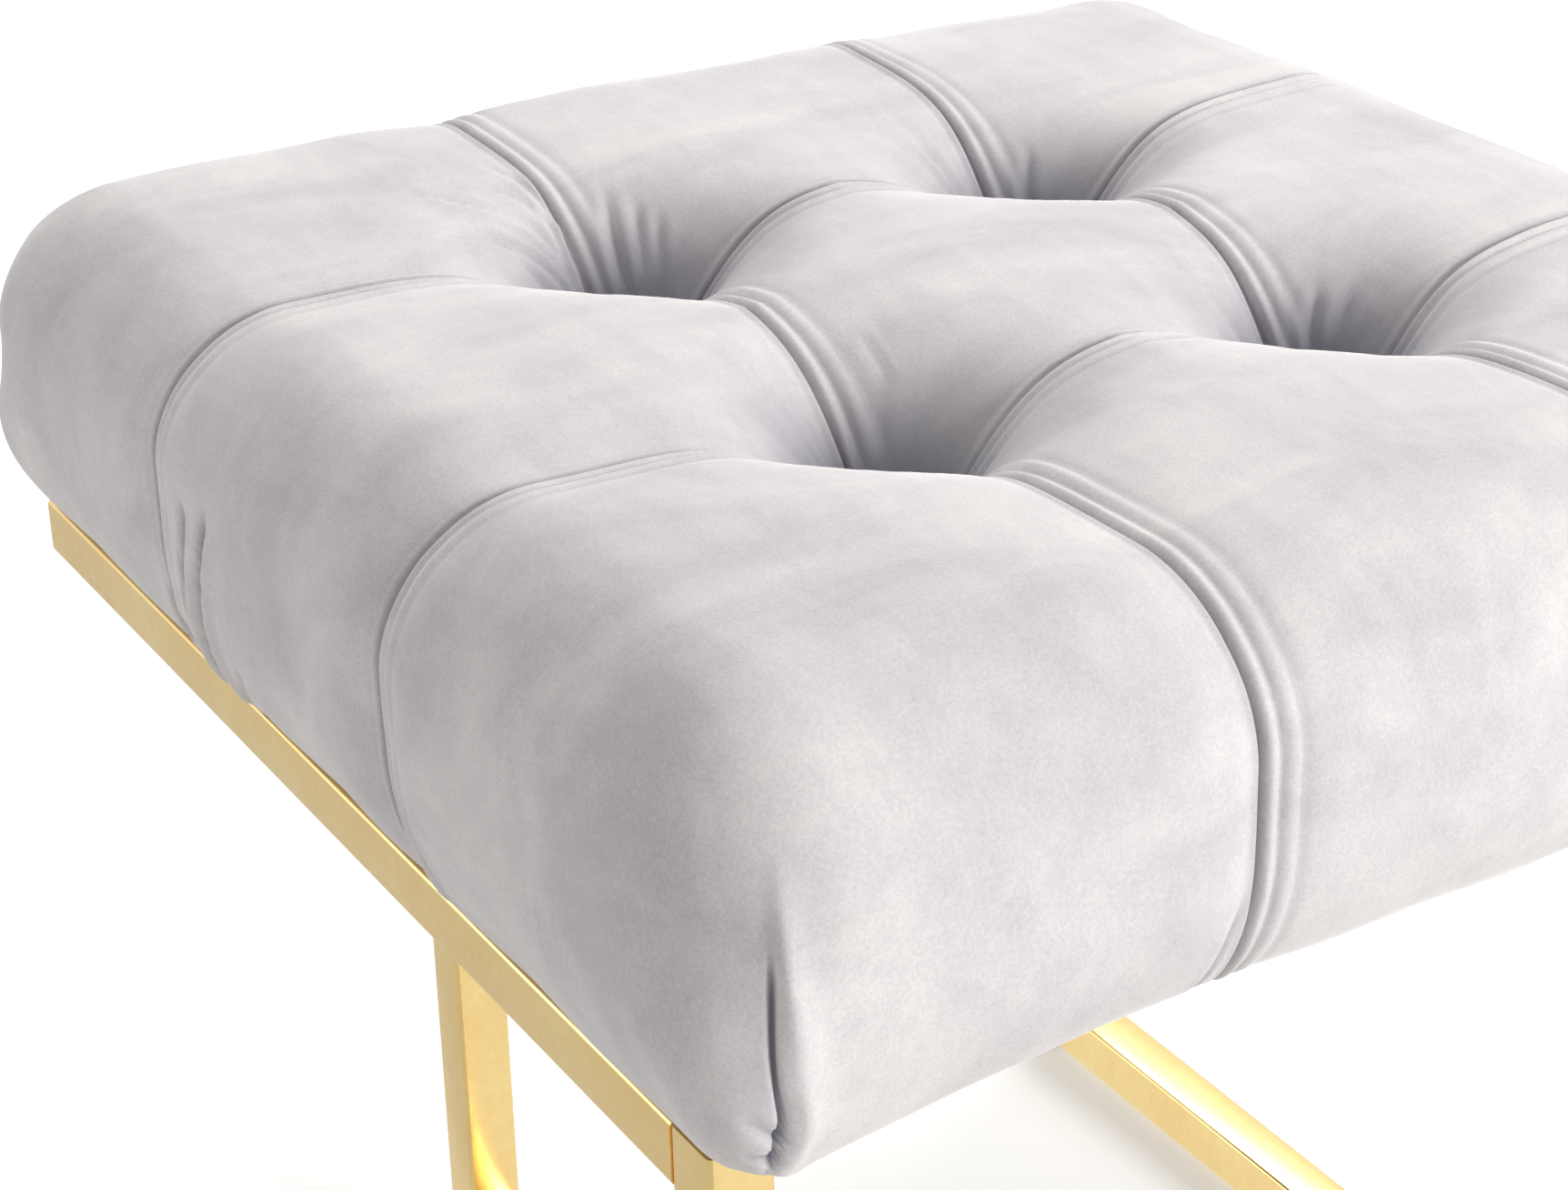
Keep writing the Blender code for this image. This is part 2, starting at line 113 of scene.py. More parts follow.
def add_block(name: str, low: Vector, high: Vector) -> bpy.types.Object:
    """Add a box between two corners, with its place in its mesh.

    Args:
        name: The piece's name.
        low: Its lowest corner.
        high: Its highest corner.

    Returns:
        The new piece, at the origin.
    """
    deselect_all()
    bpy.ops.mesh.primitive_cube_add(size=1, location=(low + high) / 2)
    piece = bpy.context.active_object
    piece.name = piece.data.name = name
    piece.scale = high - low
    bpy.ops.object.transform_apply(location=True, rotation=True, scale=True)
    return piece


def select_faces(piece: bpy.types.Object,
                 wanted: Callable[[bpy.types.MeshPolygon], bool]) -> None:
    """Select the faces that a test picks, and nothing else.

    Args:
        piece: The piece, in object mode.
        wanted: A function from a polygon to whether it is selected.
    """
    mesh = piece.data
    for polygon in mesh.polygons:
        polygon.select = wanted(polygon)
    chosen = {index for polygon in mesh.polygons if polygon.select for index in polygon.vertices}
    for vertex in mesh.vertices:
        vertex.select = vertex.index in chosen
    faces = {key for polygon in mesh.polygons if polygon.select for key in polygon.edge_keys}
    for edge in mesh.edges:
        edge.select = edge.key in faces


def select_along(piece: bpy.types.Object, axis: int, least: float = LEAST_EDGE) -> None:
    """Select the edges that run along an axis, and nothing else.

    Args:
        piece: The piece, in object mode.
        axis: The axis, as 0, 1 or 2.
        least: How far an edge runs along it at least.
    """
    mesh = piece.data
    for polygon in mesh.polygons:
        polygon.select = False
    for vertex in mesh.vertices:
        vertex.select = False
    for edge in mesh.edges:
        start, end = (mesh.vertices[index] for index in edge.vertices)
        edge.select = abs((end.co - start.co)[axis]) > least
        if edge.select:
            start.select = end.select = True


def select_rim(piece: bpy.types.Object) -> None:
    """Select the edges that only one face uses, and nothing else.

    Args:
        piece: The piece, in object mode.
    """
    mesh = piece.data
    uses = Counter(key for polygon in mesh.polygons for key in polygon.edge_keys)
    for polygon in mesh.polygons:
        polygon.select = False
    for vertex in mesh.vertices:
        vertex.select = False
    for edge in mesh.edges:
        edge.select = uses[edge.key] == 1


def in_edit_mode(piece: bpy.types.Object, mode: str, operate: Callable[[], object]) -> None:
    """Run one operator on what is selected in a piece.

    The select mode is set before edit mode is entered, so that edges are taken as they are
    selected and not through their ends.

    Args:
        piece: The piece.
        mode: VERT, EDGE or FACE.
        operate: The call to make in edit mode.
    """
    activate(piece)
    modes = [mode == kind for kind in ("VERT", "EDGE", "FACE")]
    bpy.context.scene.tool_settings.mesh_select_mode = modes
    bpy.ops.object.mode_set(mode="EDIT")
    operate()
    bpy.ops.object.mode_set(mode="OBJECT")


def cut_along(piece: bpy.types.Object, axis: int, cuts: int, least: float = LEAST_EDGE) -> None:
    """Cut the edges that run along an axis.

    Args:
        piece: The piece.
        axis: The axis, as 0, 1 or 2.
        cuts: The cuts in each edge, under 100.
        least: How far an edge runs along the axis at least.
    """
    select_along(piece, axis, least)
    in_edit_mode(piece, "EDGE", lambda: bpy.ops.mesh.subdivide(number_cuts=cuts))


def join_pieces(pieces: list[bpy.types.Object], name: str) -> bpy.types.Object:
    """Join pieces into the first of them.

    Args:
        pieces: The pieces.
        name: The joined piece's name.

    Returns:
        The joined piece.
    """
    activate(pieces[0])
    for piece in pieces:
        piece.select_set(True)
    bpy.ops.object.join()
    pieces[0].name = name
    return pieces[0]


def shade_smooth(piece: bpy.types.Object) -> None:
    """Shade a piece smooth all over."""
    activate(piece)
    bpy.ops.object.shade_smooth()


def apply_modifier(piece: bpy.types.Object, kind: str, **settings: object) -> None:
    """Add a modifier to a piece and apply it at once.

    Args:
        piece: The piece.
        kind: The modifier's type.
        settings: The modifier's values.
    """
    activate(piece)
    modifier = piece.modifiers.new(kind.lower(), kind)
    for name, value in settings.items():
        setattr(modifier, name, value)
    bpy.ops.object.modifier_apply(modifier=modifier.name)


def vertex_rows(piece: bpy.types.Object, kind: str) -> np.ndarray:
    """One vector of each vertex of a piece, one row each.

    Args:
        piece: The piece.
        kind: co for its places or normal for its normals.

    Returns:
        The rows.
    """
    flat = np.empty(len(piece.data.vertices) * 3)
    piece.data.vertices.foreach_get(kind, flat)
    return flat.reshape(-1, 3)


def points_of(piece: bpy.types.Object) -> np.ndarray:
    """The places of a piece's vertices, one row each."""
    return vertex_rows(piece, "co")


def move_points(piece: bpy.types.Object, places: np.ndarray) -> None:
    """Give a piece's vertices new places."""
    piece.data.vertices.foreach_set("co", places.ravel())
    piece.data.update()


def smooth_step(value: np.ndarray) -> np.ndarray:
    """An even step from 0 to 1 with level ends."""
    value = np.clip(value, 0.0, 1.0)
    return value * value * (3 - 2 * value)


def bump(distance: np.ndarray, width: float) -> np.ndarray:
    """A bell of height 1 round distance 0."""
    return np.exp(-((distance / width) ** 2))


def raised(least: float, share: np.ndarray) -> np.ndarray:
    """A share from 0 to 1, raised to run from a least value to 1."""
    return least + (1 - least) * share


# The cushion


@dataclass(frozen=True)
class CushionForm:
    """The measured form of the tufted cushion, as heights over the rails and depths.

    Each of the crowds is a place that the grid's columns crowd towards: how far it lies from
    the middle, the columns added there to each plain one, and how wide the crowd is.
    """

    half: float = 0.250
    rail_top: float = 0.316
    hem: float = 0.0006
    height: float = 0.1338
    top_round: float = 0.052
    corner_low: float = 0.015
    corner_high: float = 0.045
    left_bulge: float = 0.0180
    right_bulge: float = 0.0085
    front_bulge: float = 0.0284
    back_bulge: float = 0.0147
    bulge_height: float = 0.052
    front_hem_flare: float = 0.014
    back_hem_flare: float = 0.010
    hem_inset: float = 0.0021
    front_droop: float = 0.0010
    corner_droop: float = 0.0044
    droop_from: float = 0.115
    droop_near: float = 0.024
    droop_run: float = 0.130
    droop_rise: float = 0.034
    side_power: float = 0.8
    end_power: float = 0.6
    flare_power: float = 2.6
    corner_power: float = 1.8
    swell_power: int = 3
    top_share: float = 0.45

    pleats: float = 0.048
    corner_fold: float = 0.0200
    seam: float = 0.0855
    seam_depth: float = 0.0068
    seam_reach: float = 0.095
    tuft_depth: float = 0.0458
    tuft_reach: float = 0.0326
    seam_power: float = 2.77
    tuft_power: float = 1.18
    crossing_power: float = 1.95
    pit_depth: float = 0.0158
    pit_reach: float = 0.0412
    crown_fall_back: float = 0.0040
    crown_fall_right: float = 0.0078
    fall_from: float = -0.10
    fall_run: float = 0.30
    side_seam_depth: float = 0.0050
    side_seam_reach: float = 0.034
    beside_seam: float = 0.018
    crowds: tuple[tuple[float, float, float], ...] = (
        (seam, 6.5, 0.0085), (seam + beside_seam, 2.2, 0.036), (pleats, 2.4, 0.014),
        (half - corner_fold, 5.5, 0.005), (half, 1.6, 0.016))
    crowd_steps: int = 4001

    def remap(self, place: np.ndarray) -> np.ndarray:
        """Crowd an even row of places towards the seams and the corners.

        Args:
            place: Places from -half to half.

        Returns:
            Places in the same order, closer together where the form is finest.
        """
        fine = np.linspace(0.0, self.half, self.crowd_steps)
        density = np.ones(len(fine))
        for middle, added, width in self.crowds:
            density += added * bump(fine - middle, width)
        count = np.concatenate([[0.0], np.cumsum((density[1:] + density[:-1]) / 2)])
        count /= count[-1]
        return np.sign(place) * np.interp(np.abs(place) / self.half, count, fine)

    def seam_profile(self, distance: np.ndarray, reach: float) -> np.ndarray:
        """How much of its depth a seam has at a distance from its line."""
        return np.clip(1 - np.abs(distance) / reach, 0.0, None) ** self.seam_power

    def depth_along(self, place: np.ndarray) -> np.ndarray:
        """The depth of a seam at a place along it, most at the tufts."""
        from_tuft = np.abs(np.abs(place) - self.seam) / self.tuft_reach
        return self.seam_depth + self.tuft_depth * np.exp(-(from_tuft ** self.tuft_power))

    def cell_share(self, place: np.ndarray) -> np.ndarray:
        """0 on the seams across one way and 1 in the middle of the cells."""
        return 1 - self.seam_profile(np.abs(place) - self.seam, self.seam_reach)

    def top_dip(self, x: np.ndarray, y: np.ndarray) -> np.ndarray:
        """How far the top lies below its highest crown.

        Args:
            x: Places across the seat.
            y: Places along the seat.

        Returns:
            The depth of seams, pits and the crowns' fall together.
        """
        across_x = self.depth_along(y) * self.seam_profile(np.abs(x) - self.seam, self.seam_reach)
        across_y = self.depth_along(x) * self.seam_profile(np.abs(y) - self.seam, self.seam_reach)
        power = self.crossing_power
        grooves = (across_x ** power + across_y ** power) ** (1 / power)
        from_tuft = np.hypot(np.abs(x) - self.seam, np.abs(y) - self.seam)
        pits = self.pit_depth * bump(from_tuft, self.pit_reach)
        fall = (self.crown_fall_back * smooth_step((y - self.fall_from) / self.fall_run)
                + self.crown_fall_right * smooth_step((x - self.fall_from) / self.fall_run))
        return grooves + pits + fall * self.cell_share(x) * self.cell_share(y)

    @staticmethod
    def either(place: np.ndarray, low: float, high: float) -> np.ndarray:
        """One value where places are below zero and another where they aren't."""
        return np.where(place < 0, low, high)

    def side_swell(self, level: np.ndarray, across: np.ndarray, bulge: np.ndarray,
                   flare: np.ndarray | float, power: float) -> np.ndarray:
        """How far a side stands out past the rails.

        Args:
            level: Heights over the hem.
            across: Places along the side.
            bulge: How far the side swells out at most.
            flare: How far its hem stands out at the corners.
            power: How fast it swells over the hem, fastest near 0.

        Returns:
            The distance from the rails' outer face.
        """
        rise = np.clip(level / self.bulge_height, 0.0, 1.0)
        swell = np.sin(rise * math.pi / 2) ** power
        groove = self.side_seam_depth * self.seam_profile(np.abs(across) - self.seam,
                                                          self.side_seam_reach)
        hem = flare * np.abs(across / self.half) ** self.flare_power - self.hem_inset
        return hem * (1 - swell) + (bulge - groove) * swell

    def hem_droop(self, flat: np.ndarray, level: np.ndarray) -> np.ndarray:
        """How far the front hem hangs down, most beside the corners.

        Args:
            flat: Points on the box.
            level: Their heights over the hem.

        Returns:
            The distance down.
        """
        outward = smooth_step((np.abs(flat[:, 0]) - self.droop_from) / self.droop_run)
        outward = outward * smooth_step((self.half - np.abs(flat[:, 0])) / self.droop_near)
        in_front = smooth_step((-flat[:, 1] - self.half + self.corner_low) / self.corner_low)
        low_down = smooth_step(1 - level / self.droop_rise)
        return (self.front_droop + self.corner_droop * outward) * in_front * low_down

    def surface(self, flat: np.ndarray) -> np.ndarray:
        """Move points of a plain box on to the cushion's surface.

        Args:
            flat: Points on the box between the hem and the top, one row each.

        Returns:
            The points on the shaped surface.
        """
        low = self.rail_top + self.hem
        top = self.rail_top + self.height
        share = smooth_step((flat[:, 2] - low) / (top - low - self.top_round))
        radius = (self.corner_low
                  + (self.corner_high - self.corner_low) * share ** self.corner_power)
        core = np.stack([np.clip(flat[:, 0], -self.half + radius, self.half - radius),
                         np.clip(flat[:, 1], -self.half + radius, self.half - radius),
                         np.minimum(flat[:, 2], top - self.top_round)], axis=1)
        reach = flat - core
        reach[:, 2] *= radius / self.top_round
        length = np.linalg.norm(reach, axis=1)
        held = length > NOTHING
        reach[held] *= (radius[held] / length[held])[:, None]
        reach[:, 2] *= self.top_round / radius
        rounded = core + reach
        level = rounded[:, 2] - low
        swell_x = self.side_swell(level, rounded[:, 1],
                                  self.either(rounded[:, 0], self.left_bulge, self.right_bulge),
                                  0.0, self.side_power)
        swell_y = self.side_swell(level, rounded[:, 0],
                                  self.either(rounded[:, 1], self.front_bulge, self.back_bulge),
                                  self.either(rounded[:, 1], self.front_hem_flare,
                                              self.back_hem_flare), self.end_power)
        placed = rounded.copy()
        for axis, swell in enumerate((swell_x, swell_y)):
            placed[:, axis] += (rounded[:, axis] / self.half) ** self.swell_power * swell
        placed[:, 2] -= self.hem_droop(flat, level)
        topness = smooth_step((level / (top - low) - self.top_share) / (1 - self.top_share))
        placed[:, 2] -= topness * self.top_dip(placed[:, 0], placed[:, 1])
        return placed


@dataclass(frozen=True)
class SeamStitch:
    """The section of a sewn channel: a crisp crease with a rolled band beside it."""

    crease_depth: float = 0.0021
    crease_width: float = 0.0008
    band_height: float = 0.0013
    band_width: float = 0.0016
    band_offset: float = 0.0030
    band_edge_depth: float = 0.0008
    band_edge_width: float = 0.0012
    band_edge_offset: float = 0.0056
    second_height: float = 0.0007
    second_width: float = 0.0020
    second_offset: float = 0.0092
    outer_depth: float = 0.0007
    outer_offset: float = 0.0128
    roll_height: float = 0.0006
    roll_width: float = 0.0012
    roll_offset: float = 0.0020
    roll_edge_depth: float = 0.0003
    roll_edge_offset: float = 0.0044
    least_crease: float = 0.5

    def rise(self, across: np.ndarray, strength: np.ndarray) -> np.ndarray:
        """How far the cloth rises at a place across the seam.

        Args:
            across: Signed distance from the seam's line, above zero on the band's side.
            strength: How strong the band is there, from 0 to 1.

        Returns:
            The rise along the cloth's normal.
        """
        band = self.band_height * bump(across - self.band_offset, self.band_width)
        band -= self.band_edge_depth * bump(across - self.band_edge_offset, self.band_edge_width)
        band += self.second_height * bump(across - self.second_offset, self.second_width)
        band -= self.outer_depth * bump(across - self.outer_offset, self.second_width)
        roll = self.roll_height * bump(across + self.roll_offset, self.roll_width)
        roll -= self.roll_edge_depth * bump(across + self.roll_edge_offset, self.roll_width)
        crease = self.crease_depth * bump(across, self.crease_width)
        return strength * (band + roll) - raised(self.least_crease, strength) * crease


class Face(Enum):
    """The cover's faces, each with the flat directions that its creases are measured in."""

    LEFT = (0, -1)
    RIGHT = (0, 1)
    FRONT = (1, -1)
    BACK = (1, 1)
    TOP = (2, 1)


@dataclass(frozen=True)
class Crease:
    """A fine groove with a ridge beside it, along a line over one of the cover's faces.

    The line's points are (along the side, over the hem) on a side and (across, back) on top.
    It is deepest at its first point. The ridges' places and widths are in groove widths.
    """

    face: Face
    line: tuple[tuple[float, float], ...]
    depth: float
    width: float = 0.0019
    ridge: float = 0.50
    far_ridge: float = 0.5
    ridge_place: float = 2.1
    ridge_width: float = 1.2
    fade: float = 3.0
    path_points: int = 25
    most_degree: int = 3

    def rise(self, first: np.ndarray, second: np.ndarray) -> np.ndarray:
        """How far the cloth rises beside the line.

        Args:
            first: The points' first measure on the crease's face.
            second: Their second measure.

        Returns:
            The rise along the cloth's normal, below zero in the groove.
        """
        steps = np.arange(len(self.line))
        fine = np.linspace(0, len(self.line) - 1, self.path_points)
        degree = min(self.most_degree, len(self.line) - 1)
        path = np.stack([np.polyval(np.polyfit(steps, values, degree), fine)
                         for values in zip(*self.line)], axis=1)
        nearest = np.full(len(first), np.inf)
        side, share = np.zeros(len(first)), np.zeros(len(first))
        for index, (start, end) in enumerate(zip(path[:-1], path[1:])):
            run = end - start
            from_x, from_y = first - start[0], second - start[1]
            along = np.clip((from_x * run[0] + from_y * run[1]) / (run @ run), 0.0, 1.0)
            away = np.hypot(from_x - along * run[0], from_y - along * run[1])
            closer = away < nearest
            nearest = np.where(closer, away, nearest)
            side = np.where(closer, np.sign(run[0] * from_y - run[1] * from_x), side)
            share = np.where(closer, (index + along) / (len(path) - 1), share)
        strength = self.depth * smooth_step((1 - share) * self.fade)
        beside, offset = side * nearest, self.ridge_place * self.width
        ridges = (bump(beside - offset, self.ridge_width * self.width)
                  + self.far_ridge * bump(beside + offset, self.ridge_width * self.width))
        return strength * (self.ridge * ridges - bump(nearest, self.width))


CREASES = (
    Crease(Face.LEFT, ((0.1000, 0.0), (0.0945, 0.011), (0.0890, 0.024), (0.0862, 0.042)), 0.0036),
    Crease(Face.LEFT, ((0.0540, 0.0), (0.0585, 0.018), (0.0575, 0.040), (0.0550, 0.064),
                       (0.0542, 0.085)), 0.0050, 0.0024),
    Crease(Face.LEFT, ((0.0530, 0.0), (0.0500, 0.018), (0.0437, 0.039), (0.0425, 0.056),
                       (0.0392, 0.071), (0.0325, 0.090)), 0.0050, 0.0024),
    Crease(Face.LEFT, ((0.0700, 0.0), (0.0740, 0.020), (0.0730, 0.045)), 0.0026),
    Crease(Face.LEFT, ((0.0440, 0.002), (0.0330, 0.020), (0.0220, 0.034)), 0.0014, 0.0020),
    Crease(Face.LEFT, ((-0.1030, 0.0), (-0.0970, 0.014), (-0.0900, 0.034)), 0.0030),
    Crease(Face.LEFT, ((-0.1100, 0.001), (-0.1060, 0.016), (-0.0985, 0.032)), 0.0012),
    Crease(Face.RIGHT, ((0.0530, 0.0), (0.0560, 0.035), (0.0540, 0.075)), 0.0024, 0.0022),
    Crease(Face.RIGHT, ((-0.0560, 0.0), (-0.0500, 0.038), (-0.0480, 0.080)), 0.0026, 0.0022),
    Crease(Face.RIGHT, ((-0.0700, 0.0), (-0.0720, 0.028), (-0.0690, 0.055)), 0.0019, 0.0022),
    Crease(Face.FRONT, ((-0.0950, 0.0), (-0.0930, 0.022), (-0.0890, 0.045)), 0.0012),
    Crease(Face.FRONT, ((0.0960, 0.0), (0.0950, 0.028), (0.0900, 0.055)), 0.0014),
    Crease(Face.BACK, ((-0.0550, 0.0), (-0.0500, 0.042), (-0.0480, 0.085)), 0.0027, 0.0022),
    Crease(Face.BACK, ((-0.0690, 0.0), (-0.0700, 0.030), (-0.0660, 0.060)), 0.0019, 0.0022),
    Crease(Face.BACK, ((0.0570, 0.0), (0.0545, 0.036), (0.0530, 0.070)), 0.0022, 0.0022),
    Crease(Face.TOP, ((-0.0940, 0.1120), (-0.1040, 0.1165), (-0.1140, 0.1180), (-0.1240, 0.1175),
                      (-0.1340, 0.1160), (-0.1440, 0.1150)), 0.0016, 0.0020),
    Crease(Face.TOP, ((-0.0900, 0.1180), (-0.0960, 0.1260), (-0.1040, 0.1320), (-0.1140, 0.1370),
                      (-0.1280, 0.1440), (-0.1420, 0.1560)), 0.0011, 0.0018),
    Crease(Face.TOP, ((-0.0885, 0.1220), (-0.0900, 0.1310), (-0.0940, 0.1390), (-0.1010, 0.1460),
                      (-0.1100, 0.1520)), 0.0010, 0.0017),
    Crease(Face.TOP, ((-0.0910, 0.1150), (-0.1010, 0.1220), (-0.1110, 0.1250), (-0.1240, 0.1265),
                      (-0.1340, 0.1270)), 0.0010, 0.0016),
    Crease(Face.TOP, ((-0.0875, 0.1340), (-0.0895, 0.1480), (-0.0935, 0.1600), (-0.1000, 0.1680)),
           0.0010, 0.0017),
    Crease(Face.TOP, ((-0.0730, 0.1040), (-0.0725, 0.1120), (-0.0710, 0.1200), (-0.0680, 0.1290),
                      (-0.0650, 0.1380)), 0.0016, 0.0020),
    Crease(Face.TOP, ((-0.0690, 0.1000), (-0.0655, 0.1090), (-0.0620, 0.1180), (-0.0580, 0.1280)),
           0.0015, 0.0020),
    Crease(Face.TOP, ((-0.0650, 0.0950), (-0.0620, 0.1030), (-0.0585, 0.1100), (-0.0535, 0.1180)),
           0.0015, 0.0020),
    Crease(Face.TOP, ((0.0710, 0.1030), (0.0690, 0.1130), (0.0650, 0.1220), (0.0620, 0.1320)),
           0.0015, 0.0020),
    Crease(Face.TOP, ((0.0960, 0.0990), (0.1010, 0.1090), (0.1080, 0.1180)), 0.0015, 0.0020),
    Crease(Face.TOP, ((0.0990, -0.0730), (0.1070, -0.0670), (0.1160, -0.0640)), 0.0015, 0.0020),
    Crease(Face.TOP, ((0.0960, -0.0700), (0.1010, -0.0610), (0.1080, -0.0550)), 0.0015, 0.0020),
    Crease(Face.TOP, ((-0.0640, -0.0360), (-0.0645, -0.0450), (-0.0640, -0.0540)), 0.0007, 0.0012),
)


@dataclass(frozen=True)
class CornerFold:
    """The upright fold beside each corner, where the end's cloth laps over the side's."""

    place: float = 0.0195
    low: float = 0.012
    high: float = 0.070
    depth: float = 0.0032
    width: float = 0.0011
    end_over: float = 0.010
    end_run: float = 0.022
    hem_share: float = 0.05
    lip_height: float = 0.0034
    lip_near: float = 0.0030
    lip_far: float = 0.0062
    lip_top: float = 0.094
    lip_run: float = 0.050
    lip_width: float = 0.0036
    lip_over: float = 0.040
    lip_fade: float = 0.060
    lip_low: float = 0.024
    lip_hem_share: float = 0.25
    overlap: float = 0.0016
    overlap_run: float = 0.030
    overlap_edge: float = 0.0022
    overlap_width: float = 0.008
    hook: float = 0.0085
    hook_top: float = 0.026
    tucks: tuple[tuple[float, float, float, float], ...] = (
        (0.0180, 0.0175, 0.0110, 0.0260), (0.0145, 0.0110, 0.0075, 0.0120))
    tuck_depth: float = 0.0022
    tuck_width: float = 0.0020
    tuck_fade: float = 0.6

    def line(self, level: np.ndarray) -> np.ndarray:
        """The fold's distance from the corner, which hooks in towards it at the hem."""
        return self.place - self.hook * smooth_step(1 - level / self.hook_top)

    def rise(self, from_corner: np.ndarray, level: np.ndarray) -> np.ndarray:
        """How far the cloth rises beside a corner.

        Args:
            from_corner: Distance from the corner along the end.
            level: Height over the hem.

        Returns:
            The rise along the cloth's normal.
        """
        upright = smooth_step((self.high + self.end_over - level) / self.end_run)
        upright = upright * raised(self.hem_share, smooth_step(level / self.low))
        line = self.line(level)
        total = -self.depth * upright * bump(from_corner - line, self.width)
        tall = smooth_step((self.high + self.lip_over - level) / self.lip_fade)
        tall = tall * raised(self.lip_hem_share, smooth_step(level / self.lip_low))
        offset = self.lip_near + (self.lip_far - self.lip_near) * smooth_step(
            (self.lip_top - level) / self.lip_run)
        total += self.lip_height * tall * bump(from_corner - line - offset, self.lip_width)
        for start_place, start_level, end_place, end_level in self.tucks:
            start = np.array([start_place, start_level])
            run = np.array([end_place, end_level]) - start
            point = np.stack([from_corner, level], axis=1) - start
            along = np.clip(point @ run / (run @ run), 0.0, 1.0)
            away = np.linalg.norm(point - along[:, None] * run, axis=1)
            total -= (self.tuck_depth * (1 - self.tuck_fade * along)
                      * bump(away, self.tuck_width))
        return total

    def slide(self, from_corner: np.ndarray, level: np.ndarray) -> np.ndarray:
        """How far the lip slides towards the corner, over the fold.

        Args:
            from_corner: Distance from the corner along the end.
            level: Height over the hem.

        Returns:
            The distance towards the corner.
        """
        upright = smooth_step((level - self.hook_top) / self.low)
        upright = upright * smooth_step((self.high - level) / self.overlap_run)
        away = from_corner - self.line(level)
        lapped = smooth_step(away / self.overlap_edge) * bump(away, self.overlap_width)
        return self.overlap * upright * lapped


@dataclass(frozen=True)
class TuftWrinkles:
    """Wrinkles that run out from each tuft."""

    depth: float = 0.0022
    near: float = 0.006
    reach: float = 0.030
    long_depth: float = 0.0008
    long_reach: float = 0.072
    long_near: float = 0.02
    lean: float = 0.4
    lean_angles: tuple[float, float] = (40.0, 90.0)
    waves: tuple[tuple[int, float], ...] = ((11, 0.6), (17, 0.4))
    bend: float = 0.9
    bends: int = 3
    power: int = 3
    long_power: int = 4
    seed: int = 7

    def rise(self, x: np.ndarray, y: np.ndarray, seam: float) -> np.ndarray:
        """How far the wrinkles sink the cloth.

        Args:
            x: Places across the seat.
            y: Places along the seat.
            seam: The tufts' distance from the middle, each way.

        Returns:
            The rise along the cloth's normal.
        """
        chance = np.random.default_rng(self.seed)
        total = np.zeros(len(x))
        for side_x in (-1, 1):
            for side_y in (-1, 1):
                away_x, away_y = x - side_x * seam, y - side_y * seam
                distance = np.hypot(away_x, away_y)
                angle = np.arctan2(away_y, away_x)
                strongest = math.radians(chance.uniform(*self.lean_angles))
                weight = 1 - self.lean + self.lean * np.sin(angle - strongest)
                near = smooth_step(distance / self.near) * bump(distance, self.reach)
                far = smooth_step(distance / self.long_near) * bump(distance, self.long_reach)
                for count, share in self.waves:
                    turn, start = chance.uniform(0, 2 * math.pi, 2)
                    bend = self.bend * np.sin(self.bends * angle + start)
                    wave = (1 + np.cos(count * angle + bend + turn)) / 2
                    total -= self.depth * share * near * weight * wave ** self.power
                    total -= self.long_depth * share * far * weight * wave ** self.long_power
        return total


